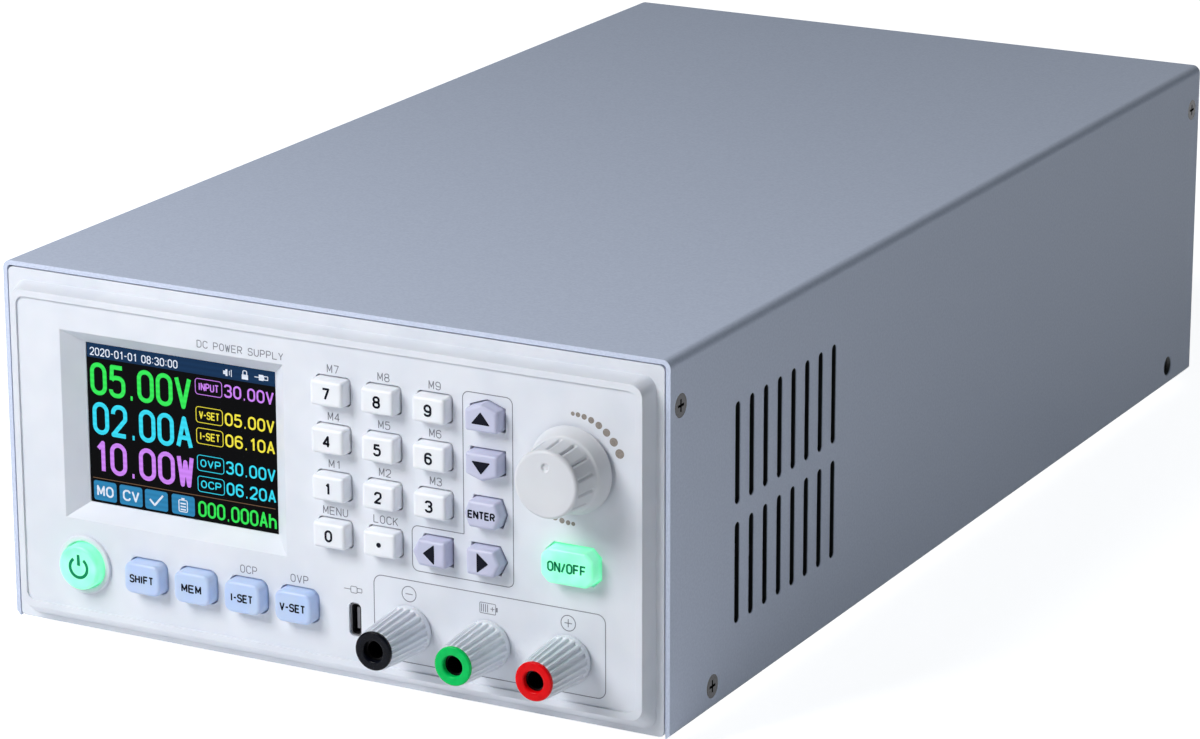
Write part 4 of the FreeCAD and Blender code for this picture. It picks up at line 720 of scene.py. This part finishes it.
def powerRingShape():
    # flange with a rounded rim round the button, and a sleeve through the panel
    outer, bore = power["ringRadius"], power["radius"] + power["gap"]
    rows = np.vstack([[(bore, -2.5), (power["sleeve"], -2.5), (power["sleeve"], 0), (outer, 0)],
                      arcRows(outer - 0.35, power["ringRise"] - 0.35, 0.35, 0, 90, 5),
                      arcRows(bore + 0.3, power["ringRise"] - 0.3, 0.3, 90, 180, 5)])
    return turnedShape(rows, powerCentre, 72, loop=True)


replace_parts(makePiece("cap_power_button", powerButtonShape(), finishes["litGreen"],
                      "power_button"), "power_button")
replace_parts(makePiece("ring_power_button", powerRingShape(), finishes["panelAbs"], "case"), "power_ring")
# the usual symbol: an upright bar in the gap of a circle
sweep = np.radians(np.linspace(125, 415, 40))
arcPath = powerMiddle[[0, 2]] + power["iconRadius"] * mm * np.stack(
    [np.cos(sweep), np.sin(sweep)], axis=1)
iconFace = panelFace - (keySizes["rise"] - power["dish"]) * mm
barPath = powerMiddle[[0, 2]] + np.array([(0, end) for end in power["bar"]]) * mm
iconParts = [ribbonShape(path, power["stroke"] * mm, iconFace - power["iconStand"] * mm,
                         iconFace + 0.3 * mm, closed=False) for path in (arcPath, barPath)]
makePiece("legend_power_button", joined(iconParts), finishes["greenInk"], "power_button")


# encoder knob
knob = {"gap": 0.8, "skirt": 9.8, "skirtTop": 5.2, "gripBase": 8.1, "gripTop": 7.55, "height": 12.2,
        "rim": 0.8, "plain": 0.9, "flutes": 14, "fluteWide": 0.3, "fluteDeep": 0.6,
        "dimple": 0.95, "sink": 0.4, "bore": 3.05, "hollow": 6.2, "inner": -4.8, "roof": 9.7}
knobMiddle = boxOf("knob")[2]
knobCentre = np.array([knobMiddle[0], panelFace, knobMiddle[2]])


def knobCut(turn, radius, reach):
    # Flat facets: the radius is that of a chord, r cos(half) / cos(angle from the facet's middle).
    # A groove with a bell-shaped section runs between two facets, and both fade out at the plain
    # band behind the face. The face sinks at the dimple, by a ramp of the distance from its centre.
    half = math.pi / knob["flutes"]
    local = np.mod(turn + half, 2 * half) - half
    onGrip = np.clip((reach - knob["skirtTop"] - 0.05) / 0.5, 0, 1)
    onGrip = onGrip * np.clip((knob["height"] - knob["plain"] - reach) / 0.45, 0, 1)
    onGrip = onGrip * (radius < knob["gripBase"] + 0.3)
    facet = math.cos(half) / np.cos(local) - math.cos(half) * 0.5 - 0.5
    across = (half - np.abs(local)) * radius
    groove = knob["fluteDeep"] * np.exp(-(across / knob["fluteWide"]) ** 2)
    away = np.hypot(radius * np.cos(turn), radius * np.sin(turn) - knob["gripTop"] * 0.5)
    sink = knob["sink"] * np.clip((knob["dimple"] - away) / 0.25, 0, 1)
    onFace = reach > knob["height"] - 0.05
    return radius * (1 + facet * onGrip) - groove * onGrip, reach - sink * onFace


def knobShape():
    top = knob["height"]
    rim = knob["rim"]
    rows = np.vstack([
        [(knob["bore"], knob["roof"]), (knob["bore"], knob["inner"]),
         (knob["hollow"], knob["inner"]), (knob["hollow"], knob["gap"]),
         (knob["skirt"] - 0.15, knob["gap"])],
        arcRows(knob["skirt"] - 0.2, knob["gap"] + 0.25, 0.2, -60, 60, 5),
        runRows((knob["skirt"] - 0.25, knob["gap"] + 0.9), (8.75, 4.3), 5),
        arcRows(9.3, 5.6, 1.25, 238, 205, 5),
        runRows((knob["gripBase"], knob["skirtTop"] + 0.15),
                (knob["gripTop"] + 0.03, top - rim), 26),
        arcRows(knob["gripTop"] - rim, top - rim, rim, 5, 90, 7),
        runRows((knob["gripTop"] - rim - 0.12, top), (0.12, top), 40)])
    return turnedShape(rows, knobCentre, knob["flutes"] * 22, knobCut)


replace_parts(makePiece("knob_skirted", knobShape(), finishes["knobAbs"], "knob",
                      crease=50), "knob")
print("power button and knob made")


# terminal posts: fluted caps and their end rings, in mm of reach in front of the panel's face
post = {"reach": 15.6, "gap": 0.25, "base": 5.6, "front": 4.65, "collar": 1.6, "bore": 3.06,
        "shoulder": 4.55, "step": 1.05, "seat": 3.96, "capFront": 14.55, "seatFloor": 13.65,
        "flutes": 22, "fluteWide": 0.5, "fluteDeep": 0.52, "ring": 4.4, "ringBore": 2.35}


def postCut(turn, radius, reach):
    # A flute's depth is that of a half-round groove, and it rises out in a quarter round near the
    # collar: depth * sqrt(1 - (across / wide)^2) * sqrt(1 - (1 - way in)^2).
    half = math.pi / post["flutes"]
    local = np.mod(turn, 2 * half) - half
    across = np.abs(local) * radius / post["fluteWide"]
    start = post["gap"] + post["collar"]
    wayIn = np.clip((reach - start) / 0.7, 0, 1)
    outside = radius > post["seat"] + 0.25
    groove = post["fluteDeep"] * np.sqrt(np.clip(1 - across ** 2, 0, 1))
    return radius - groove * np.sqrt(1 - (1 - wayIn) ** 2) * outside, reach


def capShape(centre):
    start = post["gap"] + post["collar"]
    rows = np.vstack([
        [(post["bore"], post["step"]), (post["shoulder"], post["step"]),
         (post["shoulder"], post["gap"])],
        arcRows(post["base"] - 0.25, post["gap"] + 0.25, 0.25, -90, 0, 4),
        [(post["base"], start)],
        runRows((post["base"] - 0.01, start + 0.08), (post["base"] - 0.05, start + 0.7), 6),
        runRows((post["base"] - 0.12, start + 1.6),
                (post["front"], post["capFront"] - 0.2), 8),
        [(post["front"] - 0.15, post["capFront"]), (post["seat"], post["capFront"]),
         (post["seat"], post["seatFloor"]), (post["bore"], post["seatFloor"])]])
    return turnedShape(rows, centre, post["flutes"] * 16, postCut, loop=True)


def ringShape(centre):
    # flange with a rounded rim, a rounded lip into the bore, and a shank let into the cap
    front, ring, bore = post["reach"], post["ring"], post["ringBore"]
    rows = np.vstack([
        [(3.2, front - 1.9), (3.9, front - 1.9), (3.9, front - 1.0), (ring - 0.1, front - 1.0)],
        arcRows(ring - 0.4, front - 0.45, 0.4, -20, 90, 7),
        runRows((ring - 0.55, front - 0.04), (bore + 0.6, front - 0.04), 3),
        arcRows(bore + 0.45, front - 0.5, 0.45, 90, 180, 6),
        [(bore, front - 1.25), (3.2, front - 1.25)]])
    return turnedShape(rows, centre, 96, loop=True)


postCentres = {}
for colour in ("black", "green", "red"):
    postMiddle = boxOf("post_cap_" + colour)[2]
    postCentres[colour] = postMiddle
    postCentre = np.array([postMiddle[0], panelFace, postMiddle[2]])
    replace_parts(makePiece("cap_post_" + colour, capShape(postCentre), finishes["capAbs"],
                          "cap_" + colour, crease=50), "post_cap_" + colour)
    ring = makePiece("ring_post_" + colour, ringShape(postCentre), finishes[colour + "Gloss"],
                     "ring_" + colour)
    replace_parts(ring, "post_ring_" + colour)
print("posts made")


# print on the panel, in mm of the case: x from its middle, z from the ground
printed = {"line": 0.2, "labelLine": 0.21, "labelHigh": 1.9, "iconZ": 26.9, "iconRadius": 1.75,
           "iconLine": 0.2, "labelRise": {"digit": 4.75, "function": 5.75}}


def inMm(value):
    return np.asarray(value, float) * mm


def panelLine(corners, radius, width=printed["line"]):
    path, _ = softPath(inMm(corners), inMm(radius), 7)
    return ribbonShape(path, width * mm, *inkDepths)


def sidesOf(left, low, right, high):
    return [(left, low), (right, low), (right, high), (left, high)]


def panelBar(first, last, width):
    return ribbonShape(inMm([first, last]), width * mm, *inkDepths, closed=False)


def panelDisc(centre, radius):
    return plateShape(discOutline(inMm(centre), radius * mm), *inkDepths)


def panelCircle(centre, radius, width):
    return ribbonShape(discOutline(inMm(centre), radius * mm, 40), width * mm, *inkDepths)


def labelOver(node, form, words, width):
    middle = keyMiddle(node, form) + [0, printed["labelRise"][form] * mm]
    return onPanel(words, middle, width, printed["labelHigh"], printed["labelLine"])


def terminalIcons():
    # minus and plus in circles, and a battery with bars and a small plus between them
    z, r, stroke = printed["iconZ"], printed["iconRadius"], printed["iconLine"]
    left, middle, right = (postCentres[colour][0] / mm for colour in ("black", "green", "red"))
    parts = [panelCircle((left, z), r, stroke), panelCircle((right, z), r, stroke),
             panelBar((left - 0.9, z), (left + 0.9, z), stroke),
             panelBar((right - 0.9, z), (right + 0.9, z), stroke),
             panelBar((right, z - 0.9), (right, z + 0.9), stroke)]
    parts += [panelLine(sidesOf(middle - 2.0, z - 1.2, middle + 1.9, z + 1.2), 0.25, width=0.16),
              panelBar((middle + 1.95, z), (middle + 2.4, z), 1.0)]
    parts += [panelBar((middle - 1.6 + at * 0.5, z - 0.9), (middle - 1.6 + at * 0.5, z + 0.9), 0.2)
              for at in range(4)]
    parts += [panelBar((middle + 0.6, z), (middle + 1.6, z), 0.16),
              panelBar((middle + 1.1, z - 0.5), (middle + 1.1, z + 0.5), 0.16)]
    return parts


def plugIcon(x, z):
    # plug lying down: its cable, its grip and its narrower tip
    return [panelBar((x - 2.3, z), (x - 0.6, z), 0.17),
            panelLine(sidesOf(x - 0.6, z - 0.75, x + 1.0, z + 0.75), 0.3, width=0.16),
            panelLine(sidesOf(x + 1.0, z - 0.45, x + 2.2, z + 0.45), 0.1, width=0.16)]


greyPrint = [onPanel("DC POWER SUPPLY", inMm((-19.4, 76.1)), 22.2, 1.75, 0.21)]
greyPrint += [labelOver("key_" + digit, "digit", "M" + digit, 3.0) for digit in "123456789"]
greyPrint += [labelOver("key_0", "digit", "MENU", 6.3),
              labelOver("key_point", "digit", "LOCK", 6.2),
              labelOver("key_current", "function", "OCP", 4.4),
              labelOver("key_voltage", "function", "OVP", 4.6)]
greyPrint.append(panelLine([(23.4, 32.6), (48.4, 32.6), (48.4, 75.0), (36.3, 75.0), (36.3, 42.9),
                            (23.4, 42.9)], (1.5, 1.5, 1.5, 1.5, 0.15, 1.5)))
greyPrint.append(panelLine(sidesOf(13.6, 11.1, 70.6, 30.1), 2.0))
greyPrint += terminalIcons() + plugIcon(8.3, 25.6)
makePiece("print_grey", joined(greyPrint), finishes["greyInk"], "case")


dotRow = {"count": 8, "reach": 12.2, "least": 0.46, "growth": 0.083, "step": 5.2, "widen": 0.6}


def knobDots():
    # Two rows of dots that grow clockwise round the knob, one the other turned by half a turn. A
    # dot's angle in degrees falls by step * k + widen * k^2.
    centre = knobCentre[[0, 2]] / mm
    dots = []
    for start in (90, 270):
        for k in range(dotRow["count"]):
            angle = math.radians(start - dotRow["step"] * k - dotRow["widen"] * k ** 2)
            where = centre + dotRow["reach"] * np.array([math.cos(angle), math.sin(angle)])
            dots.append(panelDisc(where, dotRow["least"] + dotRow["growth"] * k))
    return dots


makePiece("print_dots", joined(knobDots()), finishes["dotInk"], "case")
print("panel printed")


# display's picture, in mm from the window's upper left corner: u to the right, v down
screen = {"width": 49.3, "height": 37.2, "stand": 0.06, "sunk": 0.01, "tileBack": 0.035}
glassLow, _, glassMiddle = boxOf("display_glass")
screenDepths = glassLow[1] + np.array([-screen["stand"], screen["sunk"]]) * mm
screenCorner = np.array([glassMiddle[0] - screen["width"] / 2 * mm,
                         glassMiddle[2] + screen["height"] / 2 * mm])


def onScreen(places):
    return screenCorner + np.array(places) * (mm, -mm)


def screenText(words, left, top, right, bottom, stroke):
    centre = onScreen(((left + right) / 2, (top + bottom) / 2))
    return textShape(words, centre, (right - left) * mm, (bottom - top) * mm, stroke * mm,
                     *screenDepths)


def screenTile(left, top, right, bottom, radius):
    # a filled patch that lies a little behind the words on it
    path, _ = softPath(onScreen(sidesOf(left, bottom, right, top)), radius * mm, 6)
    return plateShape(path, *(screenDepths + screen["tileBack"] * mm))


def screenFrame(left, top, right, bottom, radius, width=0.14):
    path, _ = softPath(onScreen(sidesOf(left, bottom, right, top)), radius * mm, 6)
    return ribbonShape(path, width * mm, *screenDepths)


def screenBar(first, last, width):
    return ribbonShape(onScreen([first, last]), width * mm, *screenDepths, closed=False)


def infoRow(word, value, top):
    # a framed word with its value to the right
    low = top + 3.6
    return [screenFrame(28.5, top, 35.4, low, 0.7),
            screenText(word, 29.3, top + 0.9, 34.6, low - 0.9, 0.26),
            screenText(value, 36.0, top + 0.35, 48.8, low - 0.25, 0.42)]


lit = {
    "white": screenInk("screenWhite", "#E8F0FF"),
    "navy": screenInk("screenNavy", "#143458"),
    "blue": screenInk("screenBlue", "#2F86B8"),
    "green": screenInk("screenGreen", "#37F05C"),
    "cyan": screenInk("screenCyan", "#3AE2FC"),
    "violet": screenInk("screenViolet", "#D48AFC"),
    "yellow": screenInk("screenYellow", "#FCEE48"),
    "brown": screenInk("screenBrown", "#8A6A50", 0.7),
}
whiteBars = [
    # tick in its tile
    ((15.6, 34.4), (16.9, 35.7), 0.45), ((16.8, 35.7), (19.1, 33.1), 0.45),
    # battery's cap and its three bars
    ((24.0, 33.0), (24.8, 33.0), 0.4), ((23.7, 34.1), (25.1, 34.1), 0.32),
    ((23.7, 34.8), (25.1, 34.8), 0.32), ((23.7, 35.5), (25.1, 35.5), 0.32),
    # loudspeaker with two waves
    ((35.9, 1.9), (36.5, 1.9), 0.8), ((36.5, 1.9), (37.0, 1.9), 1.5),
    ((37.5, 1.4), (37.5, 2.4), 0.16), ((38.0, 1.1), (38.0, 2.7), 0.16),
    # padlock's body, then a plug's cable and grip
    ((40.7, 2.25), (42.3, 2.25), 1.1),
    ((44.0, 1.8), (45.1, 1.8), 0.2), ((45.1, 1.8), (46.3, 1.8), 1.3),
]
# battery's outline, padlock's bow and plug's tip
whiteFrames = [(23.3, 33.3, 25.5, 36.0, 0.3, 0.22), (41.0, 0.8, 42.0, 1.9, 0.35, 0.2),
               (46.4, 1.4, 47.4, 2.2, 0.1, 0.18)]
picture = {
    "navy": [screenTile(0.05, 0.05, 49.25, 3.35, 0.1)],
    "white": [screenText("2020-01-01 08:30:00", 0.8, 0.95, 24.0, 2.85, 0.24),
              screenText("M0", 1.5, 33.2, 5.9, 35.8, 0.42),
              screenText("CV", 8.4, 33.2, 12.8, 35.8, 0.42)]
    + [screenBar(*bar) for bar in whiteBars] + [screenFrame(*sides) for sides in whiteFrames],
    "blue": [screenTile(left, 32.15, left + 6.05, 36.75, 0.6)
             for left in (0.65, 7.55, 14.3, 21.4)],
    "green": [screenText("05.00V", 0.7, 4.4, 27.4, 12.0, 1.0),
              screenText("000.000Ah", 28.4, 32.7, 48.8, 36.4, 0.5)],
    "cyan": [screenText("02.00A", 1.0, 13.6, 27.4, 21.2, 1.0)] + infoRow("OVP", "30.00V", 22.0)
    + infoRow("OCP", "06.20A", 26.9),
    "violet": [screenText("10.00W", 1.0, 22.6, 27.5, 30.2, 1.0)] + infoRow("INPUT", "30.00V", 4.3),
    "yellow": infoRow("V-SET", "05.00V", 10.8) + infoRow("I-SET", "06.10A", 15.7),
    "brown": [screenBar((0.5, 31.55), (48.6, 31.55), 0.14)],
}
for shade, shapes in picture.items():
    makePiece("picture_" + shade, joined(shapes), lit[shade], "case")
print("display lit")


# floor, backdrop and soft light: a large key lamp in front to the left and above, a low one
# behind, a weak one to the right, and an even sky
lamps = {
    "keyLamp": {"place": (-0.37, -0.68, 0.62), "size": (0.45, 0.45), "power": 7.4},
    "backLamp": {"place": (-0.05, 1.4, 0.22), "size": (0.5, 0.3), "power": 1.8},
    "fillLamp": {"place": (0.75, -0.55, 0.3), "size": (0.4, 0.4), "power": 0.5},
}
lampAim = (0, 0, 0.04)
studio = {"floor": "#F4F5F8", "white": 0.84, "half": 6.0, "sink": 0.0002, "sky": 0.1,
          "skyHex": "#DAECF2"}


def makeFloor():
    # Paper that the camera, mirrors and glass also see glow by studio["white"], which brings it
    # up to white and leaves the soft shadow. Other rays meet plain paper.
    points = np.array([(-1, -1, 0), (1, -1, 0), (1, 1, 0), (-1, 1, 0)]) * studio["half"]
    mesh = bpy.data.meshes.new("studioFloor")
    mesh.from_pydata((points - [0, 0, studio["sink"]]).tolist(), [], [(0, 1, 2, 3)])
    material, (tree, shader, _) = newFinish("paperFloor", studio["floor"], 0.9)
    path = addNode(tree, "LightPath")
    direct = addNode(tree, "Math", {"operation": "MAXIMUM"},
                     {0: path.outputs["Is Camera Ray"], 1: path.outputs["Is Glossy Ray"]})
    seen = addNode(tree, "Math", {"operation": "MAXIMUM"},
                   {0: direct.outputs["Value"], 1: path.outputs["Is Transmission Ray"]})
    share = addNode(tree, "Math", {"operation": "MULTIPLY", 1: studio["white"]},
                    {0: seen.outputs["Value"]})
    white = addNode(tree, "Emission", {"Color": (1, 1, 1, 1)}, {"Strength": share.outputs["Value"]})
    both = addNode(tree, "AddShader", links={0: shader.outputs["BSDF"],
                                             1: white.outputs["Emission"]})
    output = tree.nodes["Material Output"]
    tree.links.new(both.outputs["Shader"], output.inputs["Surface"])
    mesh.materials.append(material)
    floor = placed("studioFloor", mesh)


def makeLamp(name, place, size, power):
    data = bpy.data.lights.new(name, "AREA")
    data.shape = "RECTANGLE"
    data.size, data.size_y = size
    data.energy = power
    lamp = placed(name, data)
    lamp.location = place
    way = np.array(place) - np.array(lampAim)
    level = math.hypot(way[0], way[1])
    lamp.rotation_euler = (math.atan2(level, way[2]), 0, math.atan2(way[0], -way[1]))


def makeSky():
    # white for the camera and behind glass, and a weak cool light from all round for the rest
    world = bpy.data.worlds.new("studioSky")
    bpy.context.scene.world = world
    world.use_nodes = True
    tree = world.node_tree
    tree.nodes.clear()
    path = addNode(tree, "LightPath")
    seen = addNode(tree, "Math", {"operation": "MAXIMUM"},
                   {0: path.outputs["Is Camera Ray"], 1: path.outputs["Is Transmission Ray"]})
    soft = addNode(tree, "Background", {"Color": linear(studio["skyHex"]),
                                        "Strength": studio["sky"]})
    white = addNode(tree, "Background", {"Color": (1, 1, 1, 1), "Strength": 1})
    both = addNode(tree, "MixShader", links={"Fac": seen.outputs["Value"],
                                             1: soft.outputs["Background"],
                                             2: white.outputs["Background"]})
    addNode(tree, "OutputWorld", links={"Surface": both.outputs["Shader"]})


makeFloor()
for lampName, lampFacts in lamps.items():
    makeLamp(lampName, **lampFacts)
makeSky()
bpy.context.scene.view_settings.view_transform = "Standard"
print("light set")
